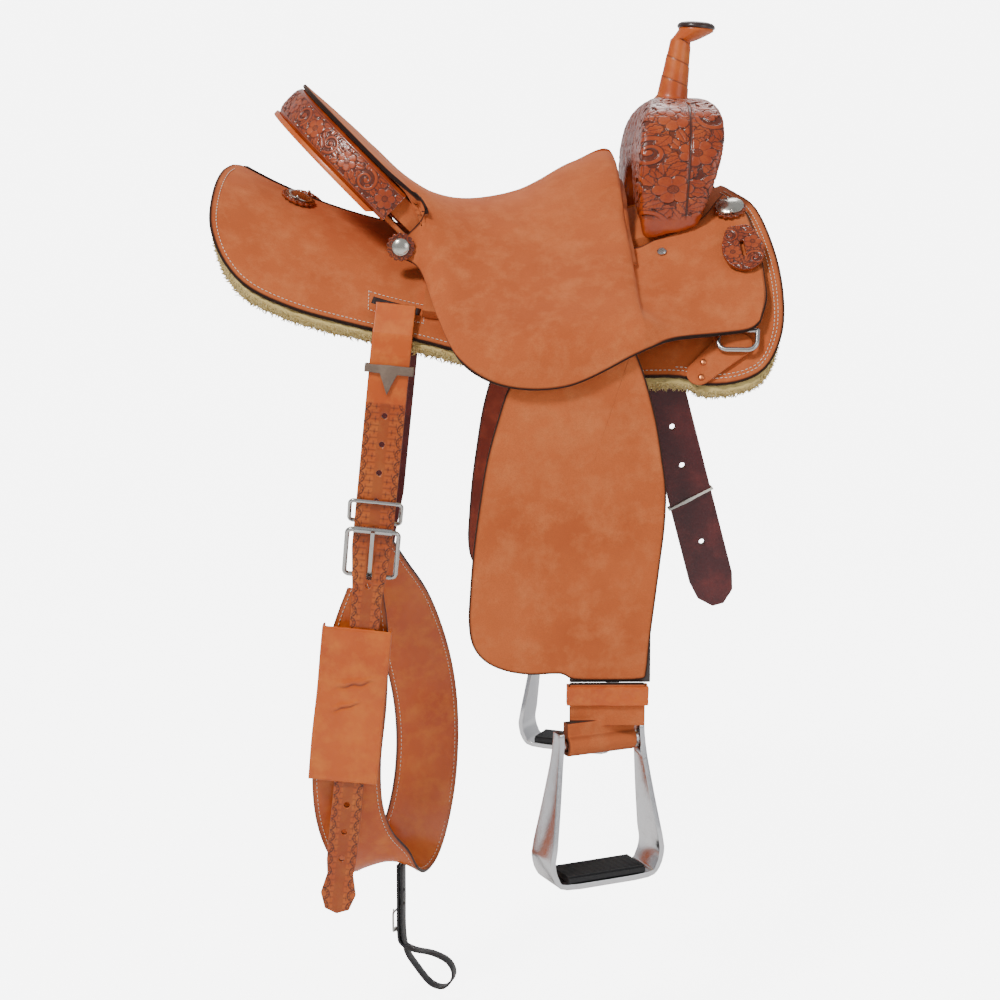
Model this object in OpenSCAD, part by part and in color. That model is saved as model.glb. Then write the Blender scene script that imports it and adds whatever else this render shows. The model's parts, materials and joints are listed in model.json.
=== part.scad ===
// Western saddle, barrel-racing pattern: tree, leathers, fenders, stirrups and flank rigging.
// +X points to the horse's head, +Y to its left side, +Z up.
// The origin is on the ridge line where the saddle sits on the horse's back, at mid length.

/* [Horse's back] */
// Radius of the back's lengthwise dip
rock_r = 600; // [560:10:680]
// Radius of the crown over the spine
crown_r = 190; // [180:2:200]
// Radius of the flanks below the crown
flank_r = 420; // [400:5:450]
// Angle where crown turns into flank
crown_angle = 40; // [38:0.5:42]

/* [Leather and fleece] */
// Thickness of the fleece lining
fleece_t = 16; // [12:1:16]
// Thickness of skirt leather
skirt_t = 5; // [4:0.5:5]
// Thickness of seat and jockey leather
seat_t = 4.5; // [3.5:0.5:4.5]
// Thickness of the tree's bars
bar_t = 12; // [8:1:12]

/* [Cantle] */
// Half width of the cantle
cantle_r = 150; // [146:1:152]
// Straight height of the cantle below its arch
cantle_leg = 40; // [36:1:44]
// Depth of the tooled roll, front to back
roll_depth = 36; // [30:1:38]

/* [Horn] */
// Radius of the horn cap
horn_cap_r = 21; // [19:0.5:23]
// Height of the neck from swell to cap
horn_neck_h = 78; // [74:1:82]

/* [Fenders and stirrups] */
// Distance of each fender's inner face from the centre line
fender_y = 250; // [250:1:254]
// Thickness of a fender
fender_t = 5; // [4:0.5:5]
// Width of the stirrup leather and of the lower wrap
stirrup_leather_w = 78; // [74:1:80]
// Width of the stirrup over its legs
stirrup_w = 134; // [130:1:138]
// Height of the stirrup from its top bar to its sole
stirrup_h = 148; // [144:1:154]
// Depth of the stirrup along the foot
stirrup_depth = 46; // [40:1:50]
// Twist of each stirrup about its leather
stirrup_twist = 24; // [18:1:28]

/* [Rear billets and flank cinch] */
// Width of a rear billet
billet_w = 42; // [40:1:43]
// Length of the right rear billet below its slot
billet_len = 652; // [640:2:664]
// Backward lean of the rear billets
billet_lean = 6; // [5:0.5:7]
// Spacing of the billet holes
hole_pitch = 30; // [28:1:32]
// Radius of the billet holes
hole_r = 3; // [2.5:0.25:3.25]
// Width of the flank cinch
cinch_w = 74; // [70:1:76]

/* [Hidden] */

gap = 0.4;                       // air between neighbouring bodies
flank_angle = 62;                // where the flank section is cut off
skirt_in = fleece_t + gap;       // offsets from the horse's back outwards
skirt_out = skirt_in + skirt_t;
bar_in = skirt_out + gap;
bar_out = bar_in + bar_t;
channel_half = 30;               // half width of the open channel over the spine

leather = "#d98a5b";
smooth_leather = "#d8803a";
tooled_leather = "#9c4a22";
dark_leather = "#3a2a26";
burgundy = "#5a2328";
steel = "#b9bcc0";

// ---------- curves ----------

// One span of a Catmull-Rom spline
function span(a, b, c, d, t) = 0.5 * (2 * b + (c - a) * t + (2 * a - 5 * b + 4 * c - d) * t * t
  + (3 * b - a - 3 * c + d) * t * t * t);

// Open spline through points, n steps in each span
function spline(p, n) = let (m = len(p) - 1) [
  for (i = [0 : m - 1]) for (k = [0 : n - 1])
    span(p[max(i - 1, 0)], p[i], p[i + 1], p[min(i + 2, m)], k / n), p[m]];

// Closed spline through points
function ring(p, n) = let (m = len(p)) [
  for (i = [0 : m - 1]) for (k = [0 : n - 1])
    span(p[(i + m - 1) % m], p[i], p[(i + 1) % m], p[(i + 2) % m], k / n)];

// ---------- the horse's back ----------

flank_c = [(crown_r - flank_r) * sin(crown_angle),
  -crown_r + (crown_r - flank_r) * cos(crown_angle)];

// Height of the back, plus an offset t, at a distance y from the centre line, at mid length
function back_profile(y, t) = let (a = abs(y))
  a < (crown_r + t) * sin(crown_angle)
    ? -crown_r + sqrt(pow(crown_r + t, 2) - a * a)
    : flank_c[1] + sqrt(pow(flank_r + t, 2) - pow(a - flank_c[0], 2));

// Height of the back, plus an offset t, at any place
function back_z(x, y, t) = rock_r - sqrt(pow(rock_r - back_profile(y, t), 2) - x * x);

module wedge(a0, a1, r)
  polygon([[0, 0], for (i = [0 : 4]) let (a = a0 + (a1 - a0) * i / 4) r * [sin(a), cos(a)]]);

// Cross-section of a shell lying on one side of the back, between two offsets
module half_section(t0, t1, end_angle) {
  intersection() {
    translate([0, -crown_r]) difference() {
      circle(r = crown_r + t1, $fn = 120);
      if (t0 > -crown_r) circle(r = crown_r + t0, $fn = 120);
    }
    translate([0, -crown_r]) wedge(0, crown_angle, 3 * crown_r);
  }
  intersection() {
    translate(flank_c) difference() {
      circle(r = flank_r + t1, $fn = 240);
      circle(r = flank_r + t0, $fn = 240);
    }
    translate(flank_c) wedge(crown_angle, end_angle, 2 * flank_r);
  }
}

// The same shell swept along the dip of the back, on the right side
module shell(t0, t1, end_angle, x0, x1) {
  a0 = asin(x0 / rock_r);
  a1 = asin(x1 / rock_r);
  translate([0, 0, rock_r]) rotate([90, 0, 0])
    rotate_extrude(start = a0 - 90, angle = a1 - a0, $fn = 240)
      translate([rock_r, 0]) rotate(90) half_section(t0, t1, end_angle);
}

// Everything below an offset t, used to trim parts that stand on the bars
module under(t) for (side = [0, 1]) mirror([0, side, 0]) {
  shell(-60, t, flank_angle, -260, 270);
}

module left() mirror([0, 1, 0]) children();

// ---------- tree ----------

bar_back = -76;                  // the bars run from under the cantle to under the fork
bar_front = 196;
bar_nose_half = 122;             // half width over the bars under the fork
module bar() color("#c9b48a") difference() {
  shell(bar_in, bar_out, 48, bar_back, bar_front);
  translate([-400, -44, -200]) cube([800, 60, 500]);
  translate([138, -bar_nose_half - 200, -200]) cube([200, 200, 500]);
}
module bar_right() bar();
module bar_left() left() bar();

// Half outlines of the swell seen from the front, [y, z]
swell_half = [[0, 164], [60, 160], [112, 146], [143, 112], [150, 72], [146, 30], [138, 8]];
// Outline of the swell seen from the side, [x, z]
swell_side = [[156, -40], [151, 20], [148, 80], [151, 128], [163, 158], [190, 171],
  [214, 167], [229, 150], [232, 120], [224, 80], [211, 40], [198, 0], [186, -40]];
gullet_half = [[0, 100], [38, 92], [60, 66], [66, 30]];

module swell_front(g) {
  top = spline(swell_half, 4);
  polygon([for (p = top) [p[0] * (1 + g / 150), p[1] + g], [130, -60], [-130, -60],
    for (i = [len(top) - 1 : -1 : 1]) [-top[i][0] * (1 + g / 150), top[i][1] + g]]);
}
module gullet_front(g) {
  arch = spline(gullet_half, 4);
  polygon([for (p = arch) [p[0] + g, p[1] + g], [66 + g, -90], [-66 - g, -90],
    for (i = [len(arch) - 1 : -1 : 1]) [-arch[i][0] - g, arch[i][1] + g]]);
}
module along_x(x0, x1) translate([x0, 0, 0]) rotate([90, 0, 90]) linear_extrude(x1 - x0) children();
module along_y(y0, y1) translate([0, y1, 0]) rotate([90, 0, 0]) linear_extrude(y1 - y0) children();

// Middle and half depth of the swell, front to back
swell_mid_x = 194;
swell_half_depth = 52;
// Offset from the centre line where each of the fork's feet is cut back for the seat leather
fork_foot_y = 106;
module swell_block(g) difference() {
  intersection() {
    along_x(100, 300) swell_front(g);
    along_y(-200, 200) polygon([for (p = spline(swell_side, 3))
      [swell_mid_x + (p[0] - swell_mid_x) * (1 + g / swell_half_depth), p[1] + g]]);
  }
  along_x(90, 310) gullet_front(g > 3 ? gap : 0);
}
module fork() color("#c9b48a") difference() {
  swell_block(0);
  under(bar_out + gap);
  intersection() {
    under(bar_out + seat_t + 4);
    both() translate([100, -fork_foot_y - 200, -100]) cube([200, 200, 300]);
  }
  horn_frame() translate([0, 0, -gap]) cylinder(r = 24 + gap, h = 60, $fn = 64);
}
module swell_cover() color(tooled_leather) difference() {
  swell_block(4);
  swell_block(gap);
  under(bar_out + seat_t + 4);
  horn_frame() translate([0, 0, 6.1]) cylinder(r = neck_r(0, -1), h = 60, $fn = 64);
  horn_frame() translate([0, 0, -gap]) cylinder(r = 24 + gap, h = 7, $fn = 64);
}

// ---------- horn ----------

horn_lean = 8;
neck_foot = [191, 0, 158];
neck_h = horn_neck_h;
cap_reach = 15;                  // how far the cap's centre lies in front of the neck
cap_tilt = 4;
module horn_frame() translate(neck_foot) rotate([0, horn_lean, 0]) children();
module cap_frame() horn_frame() translate([cap_reach, 0, neck_h + 12]) rotate([0, cap_tilt - horn_lean, 0]) children();
// Neck radius at a height above the swell, less a leather thickness
function neck_r(h, t) = 18.5 - 7.5 * h / neck_h - t;

// The steel post inside the horn, up to a height, t smaller than the neck
post_top = neck_h - 4;
module horn_post(t, top) horn_frame() rotate_extrude($fn = 64)
  polygon([[0, 6], [neck_r(0, t), 6], [neck_r(top, t), top], [0, top]]);
module horn_core() color(steel) {
  horn_post(3.6, post_top);
  horn_frame() cylinder(r = 24, h = 6.1, $fn = 64);
}
// Leather round the neck and over the horn's head
module horn_wrap() color(smooth_leather) difference() {
  union() {
    horn_post(0, neck_h);
    hull() {
      horn_frame() translate([0, 0, neck_h - 1]) cylinder(r = neck_r(neck_h, -0.3), h = 1.5, $fn = 32);
      cap_frame() translate([0, 0, -3]) cylinder(r = horn_cap_r - 1.5, h = 3, $fn = 32);
    }
  }
  horn_post(3.6 - gap, post_top + gap);
  horn_frame() translate([0, 0, -1]) cylinder(r = 40, h = 7.6, $fn = 64);
}
module horn_cap() color(dark_leather) cap_frame() translate([0, 0, 0.3]) rotate_extrude($fn = 64)
  polygon([[0, 0], [horn_cap_r - 1, 0], [horn_cap_r, 2], [horn_cap_r, 5], [horn_cap_r - 2, 8], [0, 9]]);

// ---------- cantle ----------

// The cantle's own frame: x across, y up the lean, z out of its front face
cantle_foot = [-87, 0, 46];
// Thickness of the roll and of its binding
roll_t = 8;
// Height of the roll's ends above the cantle's foot
roll_end = 14;
// Depth of the board's front face behind the cantle's front, and its thickness
board_front = 2;
board_t = 22;
// Depth of the back leather's front face behind the cantle's front, and its thickness
back_front = 29;
back_t = 5;
module cantle_frame() translate(cantle_foot) rotate([0, -45, 0]) rotate([90, 0, 90]) children();
// Point w up the lean, y to the side, n behind the front face
function cantle_pt(w, y, n) = [cantle_foot[0] - (w + n) * sqrt(0.5), y, cantle_foot[2] + (w - n) * sqrt(0.5)];

module arch(r, foot) intersection() {
  union() {
    translate([0, cantle_leg]) circle(r = r, $fn = 120);
    translate([-r, foot]) square([2 * r, cantle_leg - foot]);
  }
  translate([-r, foot]) square([2 * r, r + cantle_leg - foot]);
}
// Arched band, cut off level at its feet
module cantle_ring(r1, r0, n0, n1) difference() {
  cantle_frame() translate([0, 0, -n1]) linear_extrude(n1 - n0) difference() {
    arch(r1, -60);
    arch(r0, -61);
  }
  translate([-300, -200, cantle_foot[2] - 102]) cube([400, 400, 100]);
}

// The roll's ends stop above the seat leather's corners
module cantle_roll() color(tooled_leather) difference() {
  cantle_ring(cantle_r, cantle_r - roll_t, 0, roll_depth);
  translate([-300, -200, cantle_foot[2] + roll_end - 100]) cube([400, 400, 100]);
}
module cantle_binding() color(smooth_leather)
  cantle_ring(cantle_r + 1, cantle_r - roll_t, roll_depth + gap, roll_depth + 6);
// Everything below the tops of the bars at the cantle
module under_cantle() along_x(-330, 60) {
  top = [for (y = [-190 : 10 : 190]) [y, back_z(-135, y, bar_out + gap)]];
  polygon([for (p = top) p, [190, -300], [-190, -300]]);
}
module cantle_board() color("#c9b48a") difference() {
  cantle_frame() translate([0, 0, -board_front - board_t]) linear_extrude(board_t) difference() {
    arch(cantle_r - roll_t - gap, -70);
    translate([-55, -80]) square([110, 50]);
  }
  under_cantle();
}
module cantle_back() color(leather) difference() {
  cantle_frame() translate([0, 0, -back_front - back_t]) linear_extrude(back_t) arch(cantle_r - roll_t - gap, -60);
  under_cantle();
}

// ---------- seat ----------

// Control net of the right half of the seat's upper face. Each row runs from the centre line, or
// from the foot of the swell, down to the free edge of the jockey. y counts outwards.
function on_back(x, y, t) = [x, y, back_z(x, y, t)];
seat_net = [
  [cantle_pt(190, 0, -5.5), cantle_pt(178, 58, -5.5), cantle_pt(150, 104, -5.5), cantle_pt(108, 136, -5.5),
    cantle_pt(60, 150, -5.5), cantle_pt(-1, 153, -6), [-104, 152, 16], [-115, 148, -4]],
  [cantle_pt(100, 0, -10), cantle_pt(94, 52, -10), cantle_pt(80, 96, -10), cantle_pt(62, 124, -9),
    cantle_pt(36, 142, -8), [-82, 152, 38], [-90, 157, 12], [-88, 164, -16]],
  [[-94, 0, 66], [-97, 50, 71], [-98, 88, 76], [-92, 120, 72],
    [-84, 142, 50], [-76, 160, 18], [-72, 182, -18], [-68, 214, -64]],
  [[-40, 0, 57], [-42, 45, 58], [-44, 84, 56], [-44, 116, 44],
    [-42, 147, 20], [-42, 186, -20], [-43, 236, -70], [-45, 260, -104]],
  [[20, 0, 68], [19, 42, 66], [17, 80, 56], [14, 112, 38],
    [11, 150, 8], [8, 202, -38], [4, 256, -84], [0, 266, -130]],
  [[80, 0, 98], [80, 38, 92], [79, 74, 72], [76, 108, 46],
    [73, 152, 6], [70, 206, -36], [67, 257, -78], [64, 266, -130]],
  [[126, 0, 108], [126, 42, 98], [126, 82, 76], [126, 114, 46],
    [128, 158, 10], [129, 208, -31], [130, 256, -67], [130, 265, -99]],
  [on_back(131, 130, 39.5), on_back(132, 136, 39.5), on_back(134, 144, 39.5), on_back(136, 158, 40),
    on_back(140, 184, 43), on_back(143, 216, 51), [146, 254, -67], [149, 261, -91]],
  [on_back(166, 138, 39.5), on_back(167, 145, 39.5), on_back(168, 156, 39.5), on_back(169, 172, 39.5),
    on_back(170, 195, 41), on_back(171, 218, 47), on_back(172, 240, 55), [174, 253, -82]],
  [on_back(208, 132, 39.5), on_back(210, 138, 39.5), on_back(213, 149, 39.5), on_back(216, 166, 39),
    on_back(218, 186, 38.5), on_back(219, 207, 38.5), on_back(220, 225, 39), on_back(222, 238, 41)],
  [on_back(230, 112, 39), on_back(235, 119, 38), on_back(242, 132, 37), on_back(247, 151, 36),
    on_back(250, 174, 35.5), on_back(252, 198, 36), on_back(252, 220, 37.5), on_back(250, 239, 39)],
  [on_back(238, 102, 37), on_back(247, 113, 34), on_back(258, 131, 32), on_back(264, 152, 31),
    on_back(269, 177, 31), on_back(271, 203, 32), on_back(270, 221, 36), on_back(262, 235, 38)]
];
seat_cols = 4;   // steps between net rows along the saddle
seat_rows = 3;   // steps between net points down the side

seat_lines = spline([for (row = seat_net) row], seat_cols);
function refine(line) = spline(line, seat_rows);
seat_grid = [for (line = seat_lines) refine(line)];

// Normals of a grid of points by its neighbours, pointing to the horse
function grid_normal(g, i, j) = let (m = len(g) - 1, n = len(g[0]) - 1,
  du = g[min(i + 1, m)][j] - g[max(i - 1, 0)][j],
  dv = g[i][min(j + 1, n)] - g[i][max(j - 1, 0)],
  c = cross(du, dv)) c / norm(c);
// Copy of a grid moved by t along its normals
function grid_offset(g, t) = [for (i = [0 : len(g) - 1]) [for (j = [0 : len(g[0]) - 1])
  g[i][j] + t * grid_normal(g, i, j)]];

// Closed solid between two grids of the same size
module grid_solid(a, b) {
  m = len(a);
  n = len(a[0]);
  pts = [for (r = a) for (p = r) p, for (r = b) for (p = r) p];
  off = m * n;
  faces = [
    for (i = [0 : m - 2]) for (j = [0 : n - 2]) let (q = i * n + j) each [
      [q, q + n, q + 1], [q + 1, q + n, q + n + 1],
      [off + q, off + q + 1, off + q + n], [off + q + 1, off + q + n + 1, off + q + n]],
    for (i = [0 : m - 2]) each [
      [i * n, off + i * n, (i + 1) * n], [(i + 1) * n, off + i * n, off + (i + 1) * n],
      [i * n + n - 1, (i + 1) * n + n - 1, off + i * n + n - 1],
      [(i + 1) * n + n - 1, off + (i + 1) * n + n - 1, off + i * n + n - 1]],
    for (j = [0 : n - 2]) each [
      [j, j + 1, off + j], [j + 1, off + j + 1, off + j],
      [(m - 1) * n + j, off + (m - 1) * n + j, (m - 1) * n + j + 1],
      [(m - 1) * n + j + 1, off + (m - 1) * n + j, off + (m - 1) * n + j + 1]]];
  polyhedron(pts, faces);
}
// The seat is one piece down to the row where it divides round the swell
fork_row = 6 * seat_cols;
function on_centre(g) = [for (i = [0 : len(g) - 1]) [for (j = [0 : len(g[0]) - 1])
  [g[i][j][0], j == 0 && i <= fork_row ? 0 : g[i][j][1], g[i][j][2]]]];
module seat_leather() color(leather) {
  outer = on_centre([for (r = seat_grid) [for (p = r) [p[0], -p[1], p[2]]]]);
  inner = on_centre(grid_offset(outer, seat_t));
  m = len(outer);
  n = len(outer[0]);
  pts = [for (side = [1, -1]) for (g = [outer, inner]) for (r = g) for (p = r) [p[0], side * p[1], p[2]]];
  // Index of a point: side 0 or 1, layer 0 or 1, row, place in the row
  id = function (s, g, i, j) (j == 0 && i <= fork_row ? 0 : 2 * s * m * n) + g * m * n + i * n + j;
  // Two triangles between four corners
  quad = function (a, b, c, d) [[a, b, c], [c, b, d]];
  half = function (s) [
    for (i = [0 : m - 2]) for (j = [0 : n - 2]) each concat(
      quad(id(s, 0, i, j), id(s, 0, i + 1, j), id(s, 0, i, j + 1), id(s, 0, i + 1, j + 1)),
      quad(id(s, 1, i + 1, j), id(s, 1, i, j), id(s, 1, i + 1, j + 1), id(s, 1, i, j + 1))),
    for (i = [0 : m - 2]) each quad(id(s, 0, i + 1, n - 1), id(s, 1, i + 1, n - 1), id(s, 0, i, n - 1),
      id(s, 1, i, n - 1)),
    for (i = [fork_row : m - 2]) each quad(id(s, 0, i, 0), id(s, 1, i, 0), id(s, 0, i + 1, 0), id(s, 1, i + 1, 0)),
    for (j = [0 : n - 2]) each concat(
      quad(id(s, 0, 0, j + 1), id(s, 1, 0, j + 1), id(s, 0, 0, j), id(s, 1, 0, j)),
      quad(id(s, 0, m - 1, j), id(s, 1, m - 1, j), id(s, 0, m - 1, j + 1), id(s, 1, m - 1, j + 1)))];
  polyhedron(pts, [for (f = half(0)) f, for (f = half(1)) [f[2], f[1], f[0]]]);
}

module strainer() {
  lines = [for (i = [2 : 5]) [for (j = [0 : 3]) seat_net[i][j]]];
  g = [for (l = spline(lines, 3)) [for (p = spline(l, 3)) [p[0], -p[1], p[2]]]];
  grid_solid(grid_offset(g, seat_t + 4), grid_offset(g, seat_t + 6));
}
module ground_seat() color(steel) { strainer(); left() strainer(); }

// ---------- skirts and fleece ----------

// Outline of a skirt seen from the side, [x, z]
skirt_side = [[-225, 160], [-288, 100], [-304, 84], [-309, 50], [-305, 22], [-289, -10], [-262, -36],
  [-215, -57], [-160, -72], [-76, -92], [20, -116], [110, -124], [180, -124], [200, -131],
  [236, -129], [266, -115], [284, -85], [290, -50], [287, -4], [273, 46], [252, 66], [226, 90], [190, 160]];
slot_x = -112;
slot_z = -56;

module skirt_shell(t0, t1) difference() {
  intersection() {
    shell(t0, t1, flank_angle, -318, 300);
    along_y(-400, 1) polygon(ring(skirt_side, 3));
  }
  translate([-222, -channel_half, -200]) cube([600, channel_half + 10, 500]);
  translate([-400, -0.5, -200]) cube([500, 10, 500]);
}
module skirt() color(leather) difference() {
  skirt_shell(skirt_in, skirt_out);
  translate([slot_x, 0, slot_z]) rotate([0, -billet_lean, 0])
    translate([-billet_w / 2 - 6, -230, -8]) cube([billet_w + 12, 90, 16]);
}
module skirt_right() skirt();
module skirt_left() left() skirt();

// The fleece stops short behind the slot and above the off billet
module fleece() color("#e8dcae") difference() {
  skirt_shell(0, fleece_t);
  translate([slot_x - 32, -230, slot_z - 14]) cube([64, 90, 34]);
  translate([112, -260, -190]) cube([104, 120, 104]);
}
module fleece_right() fleece();
module fleece_left() left() fleece();

// ---------- conchos, rosettes and small fittings ----------

// Slope of the skirt's face at a distance y from the centre line
function skirt_slope(y, t) = y < (crown_r + t) * sin(crown_angle)
  ? asin(y / (crown_r + t)) : asin((y - flank_c[0]) / (flank_r + t));

// Children placed on the right skirt, x along the saddle, y uphill, z outwards
module on_skirt(x, y, lift = 0) translate([x, -y, back_z(x, y, skirt_out + lift)])
  rotate([0, -asin(x / rock_r), 0]) rotate([skirt_slope(y, skirt_out + lift), 0, 0]) children();

// Children placed on the seat leather at net row u and point v of that row
module on_seat(u, v, lift = 0) {
  i = round(u * seat_cols);
  j = round(v * seat_rows);
  grid = [for (r = seat_grid) [for (p = r) [p[0], -p[1], p[2]]]];
  n = -grid_normal(grid, i, j);
  translate(grid[i][j] + lift * n) rotate([0, asin(n[0]), 0]) rotate([atan2(-n[1], n[2]), 0, 0]) children();
}
module both() { children(); left() children(); }

module oval_concho() {
  translate([0, 0, 3.4]) hull() for (x = [-3, 3]) translate([x, 0, 0]) cylinder(r = 12, h = 1.6, $fn = 32);
  translate([0, 0, 4.8]) intersection() {
    translate([0, 0, -22]) sphere(r = 25.5, $fn = 48);
    cylinder(r = 12, h = 6, $fn = 48);
  }
  for (a = [90, 270]) rotate(a) translate([10.5, 0, 5.8]) sphere(r = 2.2, $fn = 24);
}
module rear_concho() on_skirt(-222, 62, 1.2) children();
module round_concho() on_seat(0.2, 6.36, 6) children();
module front_concho() on_seat(10, 2, 1.5) children();
module conchos_oval() color(steel) both() { rear_concho() oval_concho(); front_concho() oval_concho(); }
module conchos_round() color(steel) both() round_concho() {
  translate([0, 0, 3.4]) cylinder(r = 9, h = 1.6, $fn = 48);
  translate([0, 0, 4.8]) intersection() {
    translate([0, 0, -14]) sphere(r = 17, $fn = 48);
    cylinder(r = 8, h = 5, $fn = 48);
  }
}
module rosette(r, n) linear_extrude(3) {
  circle(r = r - 1.6, $fn = 48);
  for (i = [0 : n - 1]) rotate(i * 360 / n) translate([r - 2.4, 0]) circle(r = 2.6, $fn = 16);
}
module rosettes() color(tooled_leather) both() {
  rear_concho() rosette(19, 16);
  round_concho() rosette(15, 14);
  front_concho() rosette(17, 15);
}

keeper_half = [[0, 27], [11, 26], [18, 12], [22, -6], [17, -24], [6, -33], [0, -34]];
module latigo_keeper() color(tooled_leather) on_seat(10, 4, 1.5) linear_extrude(4) difference() {
  side = spline(keeper_half, 3);
  polygon([for (p = side) p, for (i = [len(side) - 2 : -1 : 1]) [-side[i][0], side[i][1]]]);
  translate([-2, -16]) square([4, 22]);
}
module latigo_keeper_right() latigo_keeper();
module latigo_keeper_left() left() latigo_keeper();

module jockey_screws() color(steel) both() on_seat(8, 2, 0.8) {
  rotate_extrude($fn = 48) polygon([[1.5, 0], [5, 0], [5, 1.2], [3.6, 2.4], [1.5, 2.4]]);
  cylinder(r = 2.6, h = 1, $fn = 32);
}

// ---------- front rigging ----------

dee_x = 240;
dee_y = 228;
dee_z = -76;
dee_yaw = 11.6;
dee_tilt = 31;
dee_wire = 2.6;
module rigging_plate() color(leather) on_skirt(dee_x - 16, dee_y + 2, 2.2) linear_extrude(2.4)
  hull() for (p = [[-30, -12, 13], [20, 0, 12], [10, 10, 10]]) translate([p[0], p[1]]) circle(r = p[2], $fn = 32);
module rigging_plate_right() rigging_plate();
module rigging_plate_left() left() rigging_plate();

module rivet() rotate_extrude($fn = 32) polygon([[0, 0], [3.4, 0], [3.2, 1], [1.8, 1.8], [0, 2]]);
module rigging_rivets() color("#b56a3c") both() for (p = [[-24, -7], [-32, -22]])
  on_skirt(dee_x - 16, dee_y + 2, 4.8) translate([p[0], p[1], 0]) rivet();

// D-shaped ring: straight bar on top, bow below
module dee_shape() {
  w = 20;
  h = 22;
  rotate([0, 90, 0]) translate([0, 0, -w]) cylinder(r = dee_wire, h = 2 * w, $fn = 32);
  for (s = [-1, 1]) {
    translate([s * w, 0, 0]) sphere(r = dee_wire, $fn = 32);
    translate([s * w, 0, -h + 10]) cylinder(r = dee_wire, h = h - 10, $fn = 32);
    translate([s * (w - 10), 0, -h + 10]) rotate([90, 0, 0])
      rotate_extrude(start = s > 0 ? 270 : 180, angle = 90, $fn = 48) translate([10, 0]) circle(r = dee_wire, $fn = 32);
  }
  translate([0, 0, -h]) rotate([0, 90, 0]) translate([0, 0, -w + 10]) cylinder(r = dee_wire, h = 2 * w - 20, $fn = 32);
}
module dee() color(steel) translate([dee_x, -dee_y, dee_z]) rotate([0, 0, -dee_yaw]) rotate([-dee_tilt, 0, 0])
  dee_shape();
module rigging_dee_right() dee();
module rigging_dee_left() left() dee();

// ---------- fenders ----------

swing_x = 78;      // the fender swings about this point on the bar
swing_z = -62;
fold_z = -178;     // where the fender folds outwards below the jockey
fender_mid = fender_y + fender_t / 2;

// Outline of a whole fender, [x, z], clockwise from the top
fender_side = [[52, -104], [78, -99], [106, -98], [128, -91], [134, -98], [144, -125], [155, -166], [162, -207],
  [166, -238], [165, -275], [161, -311], [156, -353], [151, -395], [148, -428], [142, -436], [107, -437],
  [72, -436], [58, -430], [27, -431], [1, -427], [-20, -417], [-33, -400], [-37, -376], [-36, -350],
  [-32, -300], [-25, -248], [-18, -206], [-7, -165], [6, -128], [24, -113]];
module fender_plate(z0, z1) intersection() {
  along_y(-fender_y - fender_t, -fender_y) polygon(ring(fender_side, 2));
  translate([-100, -400, z0]) cube([400, 400, z1 - z0]);
}
module fender_top() color(leather) fender_plate(fold_z + gap / 2, 0);
module fender() color(leather) fender_plate(-500, fold_z - gap / 2);
module fender_top_right() fender_top();
module fender_top_left() left() fender_top();
module fender_right() fender();
module fender_left() left() fender();

// Strap over the bar that carries the fender; it ends beside the swinging plate
loop_half = 37;
loop_t = 4;
module bar_loop() color(smooth_leather) along_x(swing_x - loop_half, swing_x + loop_half) {
  lift = bar_out + gap + loop_t;   // clear of the bar at both edges of the strap
  line = spline([for (y = [64 : 24 : 184]) [-y, back_z(swing_x + loop_half, y, lift)], [-214, -62], [-238, -82]], 2);
  polygon([for (p = line) p, for (i = [len(line) - 1 : -1 : 0]) [line[i][0], line[i][1] - loop_t]]);
}
module bar_loop_right() bar_loop();
module bar_loop_left() left() bar_loop();

// Stirrup leather behind the fender, from the fold down to the lower wrap
leather_x = 107;
wrap_top_z = -440;
module stirrup_leather() color(dark_leather)
  translate([leather_x - stirrup_leather_w / 2, -fender_y + gap / 4, wrap_top_z])
    cube([stirrup_leather_w + 6, 4, fold_z - gap / 2 - 24 - wrap_top_z]);
module stirrup_leather_right() stirrup_leather();
module stirrup_leather_left() left() stirrup_leather();

// ---------- stirrups ----------

bar_z = -502;      // centre of the stirrup's top bar
bar_r = 6;
stirrup_x = leather_x - 8;
wrap_turn_z = bar_z + 24;   // the wrap is flat above this height and turned with the stirrup below it
module stirrup_frame() translate([stirrup_x, -fender_mid, bar_z]) rotate([0, 0, stirrup_twist]) children();

// Sleeve of leather that goes down round the stirrup's bar and up again
module lower_wrap() color(leather) difference() {
  union() {
    translate([leather_x - stirrup_leather_w / 2, -fender_mid - 6, wrap_turn_z - 6])
      cube([stirrup_leather_w, 12, wrap_top_z - gap - wrap_turn_z + 6]);
    stirrup_frame() {
      translate([-stirrup_leather_w / 2, -6, 0]) cube([stirrup_leather_w, 12, wrap_turn_z - bar_z]);
      rotate([0, 90, 0]) cylinder(r = 12, h = stirrup_leather_w, center = true, $fn = 64);
    }
  }
  stirrup_frame() rotate([0, 90, 0]) cylinder(r = bar_r + gap, h = stirrup_leather_w + 20, center = true, $fn = 64);
}
module lower_wrap_right() lower_wrap();
module lower_wrap_left() left() lower_wrap();

// Band round the leathers just below the fender, free to slide down the wrap
band_h = 20;
module keeper_band() color(smooth_leather) translate([leather_x, -fender_mid, wrap_top_z - 2 - band_h])
  linear_extrude(band_h) difference() {
    square([stirrup_leather_w + 7, 19], center = true);
    square([stirrup_leather_w + 1, 13], center = true);
  }
module keeper_band_right() keeper_band();
module keeper_band_left() left() keeper_band();

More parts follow.
